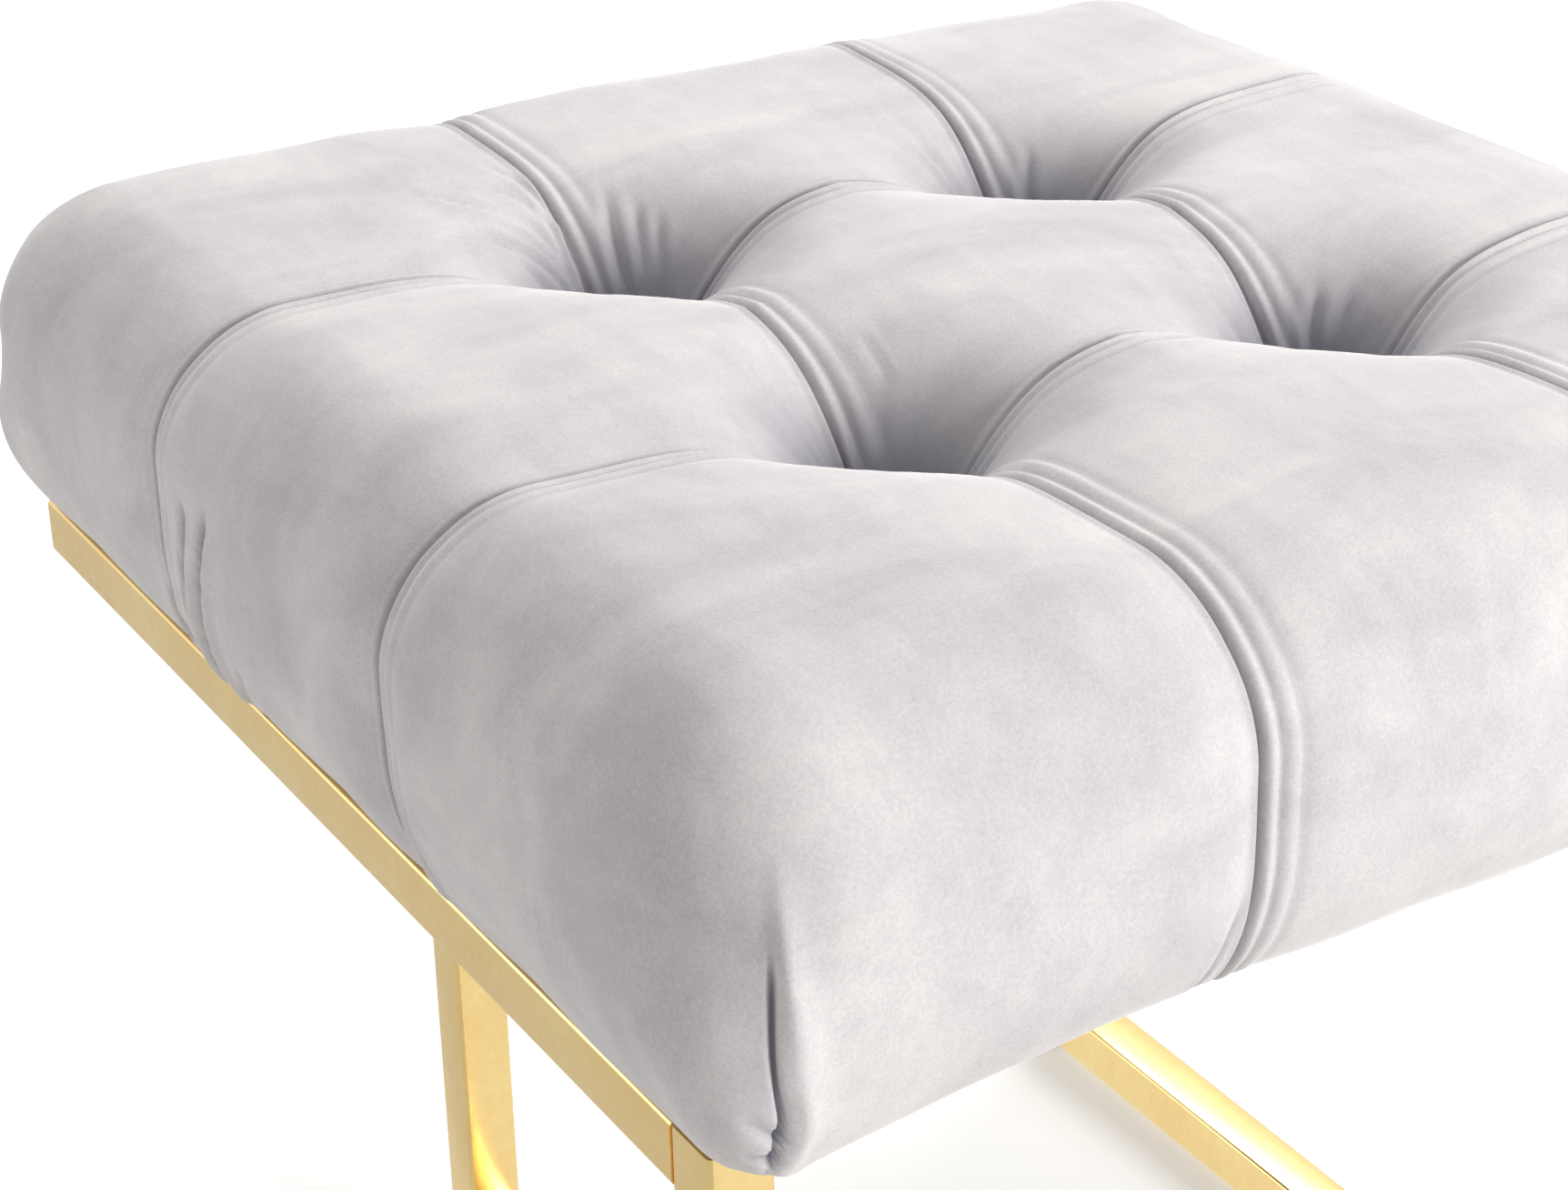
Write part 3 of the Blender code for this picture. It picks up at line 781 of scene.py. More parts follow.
@dataclass
class Cushion:
    """The velvet cover and the foam in it."""

    form: CushionForm = CushionForm()
    stitch: SeamStitch = SeamStitch()
    fold: CornerFold = CornerFold()
    wrinkles: TuftWrinkles = TuftWrinkles()
    columns: tuple[int, ...] = (14, 20)
    rows: tuple[int, ...] = (68,)
    foam_columns: tuple[int, ...] = (90,)
    foam_rows: tuple[int, ...] = (20,)
    foam_clearance: float = 0.0035
    foam_low: float = 0.0152
    cover_thickness: float = 0.0012
    turn_under: float = 0.030
    hem_step: float = 0.0010
    swell_depth: float = 0.0011
    swell_scale: float = 24.0

    seam_least: float = 0.6
    seam_full_reach: float = 0.070
    waver: float = 0.12
    waver_rate: float = 70.0
    waver_turn: float = 2.0
    # Painted shade for the cover's attribute: how much the drawn creases count, how deep a sink is
    # shaded fully, and how much shade is painted in creases, along the seams, beside the corner
    # folds and round the tufts
    drawn_pinch: float = 0.4
    pinch_full: float = 0.0023
    pinch_shade: float = 0.75
    seam_shade: float = 0.24
    seam_shade_place: float = 0.0012
    seam_shade_width: float = 0.0022
    fold_shade: float = 0.36
    fold_shade_width: float = 0.010
    fold_shade_edge: float = 0.0020
    fold_shade_level: float = 0.035
    pit_shade_reach: float = 0.034

    hem_ease: float = 0.012
    hem_gaps: tuple[float, ...] = (0.1000, 0.0535, -0.1035)
    gap_height: float = 0.0026
    gap_width: float = 0.0045
    gap_rise: float = 0.012

    def grid_box(self, name: str, columns: tuple[int, ...],
                 rows: tuple[int, ...]) -> bpy.types.Object:
        """A box without a bottom, cut into an even grid.

        Args:
            name: The piece's name.
            columns: The faces across the seat, each way, as factors under 100.
            rows: The faces between the hem and the top, as factors under 100.

        Returns:
            The piece.
        """
        form = self.form
        low = Vector((-form.half, -form.half, form.rail_top + form.hem))
        high = Vector((form.half, form.half, form.rail_top + form.height))
        piece = add_block(name, low, high)
        select_faces(piece, lambda polygon: polygon.normal.z < -0.5)
        in_edit_mode(piece, "FACE", lambda: bpy.ops.mesh.delete(type="FACE"))
        for axis, factors in enumerate((columns, columns, rows)):
            for factor in factors:
                cut_along(piece, axis, factor - 1)
        return piece

    def shape(self, piece: bpy.types.Object) -> np.ndarray:
        """Give a grid box the cushion's form.

        Args:
            piece: The grid box.

        Returns:
            The points of the box, crowded to the seams, before they took the form.
        """
        flat = points_of(piece)
        flat[:, 0] = self.form.remap(flat[:, 0])
        flat[:, 1] = self.form.remap(flat[:, 1])
        move_points(piece, self.form.surface(flat))
        return flat

    def on_face(self, flat: np.ndarray, face: Face) -> np.ndarray:
        """Which points lie on one of the box's faces.

        Args:
            flat: Points on the box.
            face: The face.

        Returns:
            True or false for each point.
        """
        axis, way = face.value
        edge = self.form.half if axis < 2 else self.form.rail_top + self.form.height
        return flat[:, axis] * way > edge - ON_FACE

    def seams(self, flat: np.ndarray) -> tuple[np.ndarray, np.ndarray]:
        """The sewn seams, two each way.

        Args:
            flat: Points on the box.

        Returns:
            The cloth's rise along its normal, and the painted shade along each seam.
        """
        seam = self.form.seam
        rise, shade = np.zeros(len(flat)), np.zeros(len(flat))
        for axis, band_side in ((0, 1), (1, -1)):
            along = flat[:, 1 - axis]
            strength = raised(self.seam_least,
                              bump(np.abs(np.abs(along) - seam), self.seam_full_reach))
            turn = along * self.waver_rate + self.waver_turn * axis
            strength = strength * (1 + self.waver * np.sin(turn))
            for place in (-seam, seam):
                across = band_side * (flat[:, axis] - place)
                rise += self.stitch.rise(across, strength)
                # A painted dark line of shade beside each seam's crease
                line = bump(across + self.seam_shade_place, self.seam_shade_width)
                shade = np.maximum(shade, line)
        return rise, shade

    def creases(self, flat: np.ndarray, level: np.ndarray) -> tuple[np.ndarray, np.ndarray]:
        """The creases on each face.

        Args:
            flat: Points on the box.
            level: Their heights over the hem.

        Returns:
            The rise of the sides' pleats, and of the creases on top.
        """
        pleats, drawn = np.zeros(len(flat)), np.zeros(len(flat))
        for crease in CREASES:
            here = self.on_face(flat, crease.face)
            if crease.face is Face.TOP:
                drawn[here] += crease.rise(flat[here, 0], flat[here, 1])
                continue
            along = flat[here, 1 - crease.face.value[0]]
            pleat = crease.rise(along, level[here])
            ease = smooth_step(level[here] / self.hem_ease)
            pleats[here] += np.where(pleat > 0, pleat * ease, pleat)
        return pleats, drawn

    def detail(self, piece: bpy.types.Object, flat: np.ndarray) -> None:
        """Add the seams' creases and ridges, the wrinkles and the corners' folds, and paint shade
        into the pits, creases, seams and corner folds as an attribute of the cover.

        Args:
            piece: The shaped cover.
            flat: Where its points lay on the box.
        """
        form, fold = self.form, self.fold
        places, normals = points_of(piece), vertex_rows(piece, "normal")
        level = flat[:, 2] - form.rail_top - form.hem
        from_corner = form.half - np.abs(flat[:, 0])
        on_end = self.on_face(flat, Face.FRONT) | self.on_face(flat, Face.BACK)
        on_top, on_left = self.on_face(flat, Face.TOP), self.on_face(flat, Face.LEFT)

        # The seams' rise, and the painted shade along them
        rise, painted_seam_shade = self.seams(flat)
        pleats, drawn = self.creases(flat, level)
        rise += pleats + np.where(on_end, fold.rise(from_corner, level), 0.0)
        fine = np.where(on_top, self.wrinkles.rise(flat[:, 0], flat[:, 1], form.seam), 0.0)
        # Painted shade in the creases: the deeper the cloth sinks, the darker it is painted
        pinch = np.clip(-(rise + self.drawn_pinch * drawn) / self.pinch_full, 0.0, 1.0)
        rise += drawn + fine + self.uneven(flat)
        places += normals * rise[:, None]
        slide = np.where(on_end, fold.slide(from_corner, level), 0.0)
        places[:, 0] += np.sign(flat[:, 0]) * slide
        low_down = np.where(on_left, smooth_step(1 - level / self.gap_rise), 0.0)
        for place in self.hem_gaps:
            places[:, 2] += self.gap_height * low_down * bump(flat[:, 1] - place, self.gap_width)
        move_points(piece, places)

        # Painted shade beside the corner folds, inside the fold's line
        beside_fold = bump(from_corner - fold.place, self.fold_shade_width)
        inside = smooth_step((fold.line(level) - from_corner) / self.fold_shade_edge)
        upright = bump(level - self.fold_shade_level, self.fold_shade_level)
        corner = np.where(on_end, beside_fold * inside * upright, 0.0)
        # Painted shade round the tufts, on top
        from_tuft = np.hypot(np.abs(flat[:, 0]) - form.seam, np.abs(flat[:, 1]) - form.seam)
        painted_pit_shade = np.where(on_top, bump(from_tuft, self.pit_shade_reach), 0.0)
        # All the painted shade together, from 0 to 1, kept as the cover's attribute
        depth = np.max([painted_pit_shade, self.pinch_shade * pinch, self.fold_shade * corner,
                        self.seam_shade * painted_seam_shade], axis=0)
        shade = piece.data.attributes.new(PAINTED_SHADE_ATTRIBUTE, "FLOAT", "POINT")
        shade.data.foreach_set("value", depth)

    def uneven(self, flat: np.ndarray) -> np.ndarray:
        """The stuffing's slight unevenness under the cloth."""
        scale = self.swell_scale
        return np.array([noise.noise(Vector(point) * scale) for point in flat]) * self.swell_depth

    def turn_in_hem(self, piece: bpy.types.Object) -> None:
        """Fold the cover's lower edge in under the seat board.

        Args:
            piece: The shaped cover, open below.
        """
        form = self.form
        edge = form.half + form.hem
        select_rim(piece)
        for inward in (self.hem_step, self.turn_under):
            outside = len(piece.data.vertices)
            in_edit_mode(piece, "EDGE", lambda scale=1 - inward / form.half: (
                bpy.ops.mesh.extrude_region(),
                bpy.ops.transform.resize(value=(scale, scale, 1),
                                         center_override=(0, 0, form.rail_top))))
            places = points_of(piece)
            places[outside:, :2] = np.clip(places[outside:, :2], -edge, edge)
            places[outside:, 2] = form.rail_top + form.hem
            move_points(piece, places)

    def build_cover(self) -> bpy.types.Object:
        """Build the velvet cover, hem and all.

        Returns:
            The piece.
        """
        piece = self.grid_box("velvet_upholstery", self.columns, self.rows)
        flat = self.shape(piece)
        self.detail(piece, flat)
        self.turn_in_hem(piece)
        apply_modifier(piece, "SOLIDIFY", thickness=self.cover_thickness, offset=-1)
        shade_smooth(piece)
        return piece

    def build_foam(self) -> bpy.types.Object:
        """Build the foam pad inside the cover.

        Returns:
            The piece.
        """
        piece = self.grid_box("foam_block", self.foam_columns, self.foam_rows)
        self.shape(piece)
        inset = self.cover_thickness + self.foam_clearance
        places = points_of(piece) - vertex_rows(piece, "normal") * inset
        places[:, 2] = np.maximum(places[:, 2], self.form.rail_top + self.foam_low)
        move_points(piece, places)
        select_rim(piece)
        in_edit_mode(piece, "EDGE", lambda: bpy.ops.mesh.fill_holes(sides=0))
        shade_smooth(piece)
        return piece


# The frame


class Axis(Enum):
    """The way a tube runs."""

    X = 0
    Y = 1
    Z = 2


@dataclass(frozen=True)
class TubeForm:
    """The section of the frame's square tube."""

    wall: float = 0.0015
    corner: float = 0.0017
    segments: int = 5
    bore_depth: float = 0.016
    bore_step: float = 0.00001
    smooth_angle: float = 40.0


@dataclass
class WeldedFrame:
    """The rails, legs and runners, each around its CAD tube."""

    form: TubeForm = TubeForm()

    def tube(self, node: str, axis: Axis) -> bpy.types.Object:
        """A square tube with rounded corners and open ends, in the place of a CAD tube.

        Args:
            node: The CAD node's name.
            axis: The way the tube runs.

        Returns:
            The piece.
        """
        form, way = self.form, axis.value
        low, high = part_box(node)
        piece = add_block(f"{node}_tube", Vector(low), Vector(high))
        select_along(piece, way)
        in_edit_mode(piece, "EDGE", lambda: bpy.ops.mesh.bevel(
            offset=form.corner, segments=form.segments, affect="EDGES"))
        for thickness, depth in ((form.wall, 0.0), (form.bore_step, -form.bore_depth)):
            self.select_ends(piece, way)
            in_edit_mode(piece, "FACE", lambda inward=thickness, depth=depth: bpy.ops.mesh.inset(
                thickness=inward, depth=depth, use_individual=True))
        activate(piece)
        bpy.ops.object.shade_smooth_by_angle(angle=math.radians(form.smooth_angle))
        return piece

    @staticmethod
    def select_ends(piece: bpy.types.Object, way: int) -> None:
        """Select the innermost face at each end of a tube.

        Args:
            piece: The tube.
            way: The axis that it runs along, as 0, 1 or 2.
        """
        middle = points_of(piece).mean(axis=0)

        def innermost(polygon: bpy.types.MeshPolygon) -> bool:
            """Whether a face is square to the tube and on its middle line."""
            away = np.array(polygon.center) - middle
            away[way] = 0
            square = abs(polygon.normal[way]) > SQUARE
            return bool(square and np.linalg.norm(away) < LEAST_EDGE)

        select_faces(piece, innermost)

    def build(self) -> dict[str, bpy.types.Object]:
        """Build all the tubes.

        Returns:
            Each tube by the CAD node that it stands for.
        """
        runs = {"side_rail_left": Axis.Y, "side_rail_right": Axis.Y,
                "front_leg_left": Axis.Z, "front_leg_right": Axis.Z,
                "rear_leg_left": Axis.Z, "rear_leg_right": Axis.Z,
                "inner_runner_left": Axis.Y, "inner_runner_right": Axis.Y,
                "front_cross_rail": Axis.X, "rear_cross_rail": Axis.X,
                "front_floor_runner": Axis.X}
        return {node: self.tube(node, axis) for node, axis in runs.items()}


# The underside


@dataclass(frozen=True)
class Underside:
    """The dust cover with its staples, and the twines that pull the tufts down."""

    half: float = 0.236
    low: float = 0.3165
    thickness: float = 0.0006
    sag: float = 0.0035
    sag_half: float = 0.190
    bays: tuple[tuple[float, float], ...] = ((-0.203, 0.125), (0.146, 0.236))
    cuts: int = 71
    ripple_share: float = 0.06
    ripple_across: float = 150.0
    ripple_along: float = 9.0

    staple_half: float = 0.0055
    staple_wire: float = 0.0007
    staple_below: float = 0.0016
    staple_inset: float = 0.223
    staple_run_share: float = 0.9
    staple_cuts: int = 6
    leg_rise: float = 0.0011
    leg_width: float = 0.0009
    stray: float = 0.0012
    stray_rate: float = 7.0
    staples_per_side: int = 11

    strands: int = 3
    strand_radius: float = 0.00078
    strand_sides: int = 8
    strand_cuts: int = 39
    twist: float = 420.0

    def dust_cover(self) -> bpy.types.Object:
        """Build the black cloth under the board, which sags a little between the rails.

        Returns:
            The piece.
        """
        deselect_all()
        bpy.ops.mesh.primitive_plane_add(size=2 * self.half, location=(0, 0, 0))
        piece = bpy.context.active_object
        piece.name = "underside_cloth"
        bpy.ops.object.transform_apply(location=True, rotation=True, scale=True)
        select_faces(piece, lambda polygon: True)
        in_edit_mode(piece, "FACE", lambda: bpy.ops.mesh.subdivide(number_cuts=self.cuts))
        places = points_of(piece)
        across = np.clip(np.abs(places[:, 0]) / self.sag_half, 0.0, 1.0)
        sag = np.zeros(len(places))
        for start, end in self.bays:
            along = np.clip((places[:, 1] - start) / (end - start), 0.0, 1.0)
            sag += (end - start) * np.sin(along * math.pi) ** 2
        sag *= self.sag / (self.bays[0][1] - self.bays[0][0])
        places[:, 2] = self.low - sag * np.cos(across * math.pi / 2) ** 2
        ripple = (np.sin(places[:, 0] * self.ripple_across)
                  * np.sin(places[:, 1] * self.ripple_along + 1.0))
        places[:, 2] -= self.ripple_share * sag * (1 + ripple)
        move_points(piece, places)
        apply_modifier(piece, "SOLIDIFY", thickness=self.thickness, offset=0)
        shade_smooth(piece)
        return piece

    def staple(self, name: str, place: tuple[float, float], upright: bool) -> bpy.types.Object:
        """One staple, its back flat under the cloth and its legs up in the board.

        Args:
            name: The piece's name.
            place: Its middle in X and Y.
            upright: Whether it lies along Y.

        Returns:
            The piece.
        """
        half, wire = self.staple_half, self.staple_wire
        way = 1 if upright else 0
        reach = (wire / 2, half) if upright else (half, wire / 2)
        low = Vector((place[0] - reach[0], place[1] - reach[1], self.low - self.staple_below))
        high = Vector((place[0] + reach[0], place[1] + reach[1], low.z + wire))
        piece = add_block(name, low, high)
        cut_along(piece, way, self.staple_cuts, half)
        places = points_of(piece)
        from_end = half - np.abs(places[:, way] - place[way])
        places[:, 2] += self.leg_rise * bump(from_end, self.leg_width)
        move_points(piece, places)
        return piece

    def staples(self) -> bpy.types.Object:
        """Build all the staples round the dust cover.

        Returns:
            The staples, as one piece.
        """
        made = []
        share = self.staple_run_share
        steps = np.linspace(-share, share, self.staples_per_side) * self.staple_inset
        for side in (-1, 1):
            for number, step in enumerate(steps):
                stray = self.stray * math.sin(self.stray_rate * number + side)
                edge = side * (self.staple_inset + stray)
                made.append(self.staple("staple", (float(step), edge), False))
                made.append(self.staple("staple", (edge, float(step)), True))
        return join_pieces(made, "dust_cover_staples")

    def twine(self, node: str) -> bpy.types.Object:
        """A laid twine of twisted strands in the place of a plain CAD one.

        Args:
            node: The CAD node's name.

        Returns:
            The piece.
        """
        low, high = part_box(node)
        middle_x, middle_y, middle_z = ((start + end) / 2 for start, end in zip(low, high))
        radius = (high[0] - low[0]) / 2 - self.strand_radius
        deselect_all()
        made = []
        for number in range(self.strands):
            turn = 2 * math.pi * number / self.strands
            bpy.ops.mesh.primitive_cylinder_add(
                vertices=self.strand_sides, radius=self.strand_radius, depth=high[2] - low[2],
                location=(radius * math.cos(turn), radius * math.sin(turn), middle_z))
            strand = bpy.context.active_object
            bpy.ops.object.transform_apply(location=True, rotation=True, scale=True)
            cut_along(strand, Axis.Z.value, self.strand_cuts)
            made.append(strand)
        piece = join_pieces(made, f"{node}_laid")
        places = points_of(piece)
        turns = places[:, 2] * self.twist
        spun = places.copy()
        spun[:, 0] = places[:, 0] * np.cos(turns) - places[:, 1] * np.sin(turns) + middle_x
        spun[:, 1] = places[:, 0] * np.sin(turns) + places[:, 1] * np.cos(turns) + middle_y
        move_points(piece, spun)
        shade_smooth(piece)
        return piece


# Materials


class Nodes:
    """Builds one material's or group's nodes."""

    def __init__(self, tree: bpy.types.NodeTree) -> None:
        """Work in a node tree."""
        self.tree = tree

    def fill(self, node: bpy.types.Node, **inputs: object) -> None:
        """Set or link a node's inputs.

        Args:
            node: The node.
            inputs: Values or sockets by the input's name, with _ for a space, or by In_ and
                the input's number.
        """
        for name, value in inputs.items():
            key = name.replace("_", " ")
            socket = node.inputs[int(key[3:])] if key.startswith("In ") else node.inputs[key]
            if isinstance(value, bpy.types.NodeSocket):
                self.tree.links.new(value, socket)
            else:
                socket.default_value = value

    def add(self, kind: str, **values: object) -> bpy.types.Node:
        """Add a node and fill it in.

        Args:
            kind: The node's type.
            values: Its inputs, as fill takes them. A name that starts with a small letter is
                a property of the node itself, and is set first.

        Returns:
            The node.
        """
        node = self.tree.nodes.new(kind)
        for name in [name for name in values if name[0].islower()]:
            setattr(node, name, values.pop(name))
        self.fill(node, **values)
        return node

    def math(self, operation: str, first: object, second: object = 0.0) -> bpy.types.NodeSocket:
        """The result of a Math node."""
        node = self.add("ShaderNodeMath", operation=operation, In_0=first, In_1=second)
        return node.outputs[0]

    def ramp(self, factor: object, low: float, high: float, start: float = 0.0,
             end: float = 1.0) -> bpy.types.NodeSocket:
        """A value from start to end as the factor goes from low to high."""
        node = self.add("ShaderNodeMapRange", Value=factor, From_Min=low, From_Max=high,
                        To_Min=start, To_Max=end)
        return node.outputs["Result"]

    def mix(self, factor: object, first: object, second: object) -> bpy.types.NodeSocket:
        """A colour between two."""
        node = self.add("ShaderNodeMix", data_type="RGBA", In_0=factor, In_6=first, In_7=second)
        return node.outputs[2]

    def noise(self, place: object, scale: float, detail: float = 2.0,
              roughness: float = 0.5, distortion: float = 0.0) -> bpy.types.NodeSocket:
        """The value of a Noise node, from 0 to 1."""
        node = self.add("ShaderNodeTexNoise", Vector=place, Scale=scale, Detail=detail,
                        Roughness=roughness, Distortion=distortion)
        return node.outputs[0]

    def stretched(self, scale: tuple[float, float, float]) -> bpy.types.NodeSocket:
        """Object coordinates, scaled."""
        place = self.add("ShaderNodeTexCoord").outputs["Object"]
        return self.add("ShaderNodeMapping", Vector=place, Scale=scale).outputs[0]


def new_material(name: str) -> tuple[bpy.types.Material, Nodes, bpy.types.Node]:
    """Make a material with a Principled shader.

    Args:
        name: The material's name.

    Returns:
        The material, its nodes and its shader.
    """
    material = bpy.data.materials.new(name)
    material.use_nodes = True
    shader = material.node_tree.nodes["Principled BSDF"]
    return material, Nodes(material.node_tree), shader


@dataclass(frozen=True)
class Velvet:
    """Short-nap velvet, brushed lighter and darker in patches, with painted shade in its pits,
    creases, seams and corner folds.
    """

    light: tuple[float, float, float, float] = (0.73, 0.695, 0.68, 1.0)
    dark: tuple[float, float, float, float] = (0.53, 0.50, 0.515, 1.0)
    # The colour of the painted shade in pits, creases, seams and corner folds
    painted_shade_colour: tuple[float, float, float, float] = (0.11, 0.115, 0.175, 1.0)
    rough: float = 0.82
    specular: float = 0.25
    sheen: float = 0.55
    sheen_roughness: float = 0.35
    sheen_tint: tuple[float, float, float, float] = (1.0, 0.98, 0.98, 1.0)

    patch_stretch: tuple[float, float, float] = (1.0, 2.2, 1.6)
    patch_noise: tuple[float, ...] = (9.0, 4.0, 0.55, 0.6)
    patch_range: tuple[float, float] = (0.34, 0.68)
    patch_share: float = 0.72
    streak_stretch: tuple[float, float, float] = (3.2, 1.0, 2.0)
    streak_noise: tuple[float, ...] = (26.0, 3.0, 0.6, 0.4)
    streak_range: tuple[float, float] = (0.35, 0.70)
    streak_share: float = 0.28
    nap_noise: tuple[float, ...] = (900.0, 2.0, 0.7)
    nap_range: tuple[float, float] = (0.3, 0.7)
    nap_change: float = 0.24
    # How far the colour turns to the painted shade at the attribute's full value
    painted_shade_share: float = 0.95
    relief: float = 0.16
    relief_height: float = 0.0006
    streak_relief: float = 0.6

    def make(self) -> bpy.types.Material:
        """Build the material, with the painted shade that the cover's attribute carries mixed into
        its colour.

        Returns:
            The material.
        """
        material, nodes, shader = new_material("pale_velvet")
        patches = nodes.noise(nodes.stretched(self.patch_stretch), *self.patch_noise)
        streaks = nodes.noise(nodes.stretched(self.streak_stretch), *self.streak_noise)
        nap = nodes.noise(nodes.stretched((1, 1, 1)), *self.nap_noise)
        tone = nodes.math("ADD", nodes.ramp(patches, *self.patch_range, 0.0, self.patch_share),
                          nodes.ramp(streaks, *self.streak_range, 0.0, self.streak_share))
        tone = nodes.math("ADD", tone, nodes.ramp(nap, *self.nap_range, -self.nap_change,
                                                  self.nap_change))
        # Painted shade: the cover's attribute mixes the colour towards the shade colour
        painted_shade_fac = nodes.add("ShaderNodeAttribute", attribute_name=PAINTED_SHADE_ATTRIBUTE).outputs["Fac"]
        colour = nodes.mix(nodes.math("MULTIPLY", painted_shade_fac, self.painted_shade_share),
                           nodes.mix(tone, self.dark, self.light), self.painted_shade_colour)
        height = nodes.math("ADD", nap, nodes.math("MULTIPLY", streaks, self.streak_relief))
        relief = nodes.add("ShaderNodeBump", Strength=self.relief, Distance=self.relief_height,
                           Height=height)
        nodes.fill(shader, Base_Color=colour, Roughness=self.rough, Normal=relief.outputs[0],
                   Sheen_Weight=self.sheen, Sheen_Roughness=self.sheen_roughness,
                   Sheen_Tint=self.sheen_tint, Specular_IOR_Level=self.specular)
        return material


def variation_group() -> bpy.types.NodeTree:
    """The node group that every finish shares: a coarse tone and a fine relief.

    Returns:
        The group, made at its first use.
    """
    if VARIATION in bpy.data.node_groups:
        return bpy.data.node_groups[VARIATION]
    group = bpy.data.node_groups.new(VARIATION, "ShaderNodeTree")
    face = group.interface
    for name, kind, default in (("Stretch X", "NodeSocketFloat", 1.0),
                                ("Stretch Y", "NodeSocketFloat", 1.0),
                                ("Coarse", "NodeSocketFloat", 20.0),
                                ("Fine", "NodeSocketFloat", 300.0)):
        face.new_socket(name=name, in_out="INPUT", socket_type=kind).default_value = default
    face.new_socket(name="Tone", in_out="OUTPUT", socket_type="NodeSocketFloat")
    face.new_socket(name="Relief", in_out="OUTPUT", socket_type="NodeSocketFloat")
    nodes = Nodes(group)
    given = group.nodes.new("NodeGroupInput").outputs
    handed = group.nodes.new("NodeGroupOutput")
    place = nodes.add("ShaderNodeTexCoord").outputs["Object"]
    axes = nodes.add("ShaderNodeSeparateXYZ", Vector=place).outputs
    joined = nodes.add("ShaderNodeCombineXYZ",
                       X=nodes.math("MULTIPLY", axes["X"], given["Stretch X"]),
                       Y=nodes.math("MULTIPLY", axes["Y"], given["Stretch Y"]),
                       Z=axes["Z"]).outputs[0]
    coarse = nodes.noise(joined, given["Coarse"], detail=4.0, roughness=0.6)
    fine = nodes.noise(joined, given["Fine"], detail=3.0, roughness=0.6)
    tone = nodes.math("ADD", nodes.math("MULTIPLY", coarse, COARSE_SHARE),
                      nodes.math("MULTIPLY", fine, FINE_SHARE))
    nodes.fill(handed, Tone=nodes.ramp(tone, *TONE_RANGE), Relief=fine)
    return group


@dataclass(frozen=True)
class Finish:
    """A finish whose colour and roughness vary over the surface."""

    name: str
    light: tuple[float, float, float, float]
    dark: tuple[float, float, float, float]
    rough: float
    rough_change: float = 0.06
    coarse: float = 20.0
    fine: float = 300.0
    stretch: tuple[float, float] = (1.0, 1.0)
    relief: float = 0.2
    relief_height: float = 0.0004
    metallic: float = 0.0

    def make(self) -> bpy.types.Material:
        """Build the material.

        Returns:
            The material.
        """
        material, nodes, shader = new_material(self.name)
        group = nodes.add("ShaderNodeGroup", node_tree=variation_group(),
                          Stretch_X=self.stretch[0], Stretch_Y=self.stretch[1],
                          Coarse=self.coarse, Fine=self.fine)
        tone, height = group.outputs["Tone"], group.outputs["Relief"]
        relief = nodes.add("ShaderNodeBump", Strength=self.relief, Distance=self.relief_height,
                           Height=height)
        nodes.fill(shader, Base_Color=nodes.mix(tone, self.dark, self.light),
                   Metallic=self.metallic, Normal=relief.outputs[0],
                   Roughness=nodes.ramp(tone, 0.0, 1.0, self.rough + self.rough_change,
                                        self.rough - self.rough_change))
        return material


GOLD = Finish("gold_plate", (0.97, 0.755, 0.345, 1), (0.92, 0.655, 0.275, 1), 0.21, 0.05,
              coarse=16.0, fine=240.0, relief=0.05, metallic=1.0)
ZINC = Finish("zinc_plate", (0.66, 0.66, 0.63, 1), (0.46, 0.47, 0.47, 1), 0.38, 0.08,
              coarse=130.0, fine=900.0, metallic=1.0)
NYLON = Finish("black_nylon", (0.045, 0.045, 0.045, 1), (0.02, 0.02, 0.02, 1), 0.5,
               coarse=90.0, fine=1200.0, relief=0.3)
FOAM = Finish("cream_foam", (0.86, 0.81, 0.62, 1), (0.70, 0.64, 0.46, 1), 0.92, 0.04,
              coarse=160.0, fine=900.0, relief=0.6, relief_height=0.0008)
PLYWOOD = Finish("birch_plywood", (0.68, 0.50, 0.31, 1), (0.50, 0.34, 0.19, 1), 0.62,
                 coarse=34.0, fine=420.0, stretch=(1.0, 0.06), relief=0.25)
DUST_CLOTH = Finish("dust_cloth", (0.035, 0.035, 0.037, 1), (0.010, 0.010, 0.011, 1), 0.9, 0.05,
                    coarse=420.0, fine=1500.0, relief=0.5)
TWINE = Finish("waxed_twine", (0.72, 0.68, 0.57, 1), (0.48, 0.44, 0.36, 1), 0.7,
               coarse=300.0, fine=2200.0, relief=0.5)


# Camera, light and floor


@dataclass(frozen=True)
class Lamp:
    """A square area lamp that faces a point, its power in watts."""

    name: str
    place: tuple[float, float, float]
    size: float
    power: float
    aim: tuple[float, float, float] = (0.0, 0.0, 0.33)

    def build(self) -> None:
        """Add the lamp to the scene."""
        data = bpy.data.lights.new(self.name, "AREA")
        data.energy, data.size = self.power, self.size
        lamp = bpy.data.objects.new(self.name, data)
        lamp.location = self.place
        lamp.rotation_mode = "QUATERNION"
        ahead = Vector(self.aim) - Vector(self.place)
        lamp.rotation_quaternion = ahead.to_track_quat("-Z", "Y")
        bpy.context.scene.collection.objects.link(lamp)


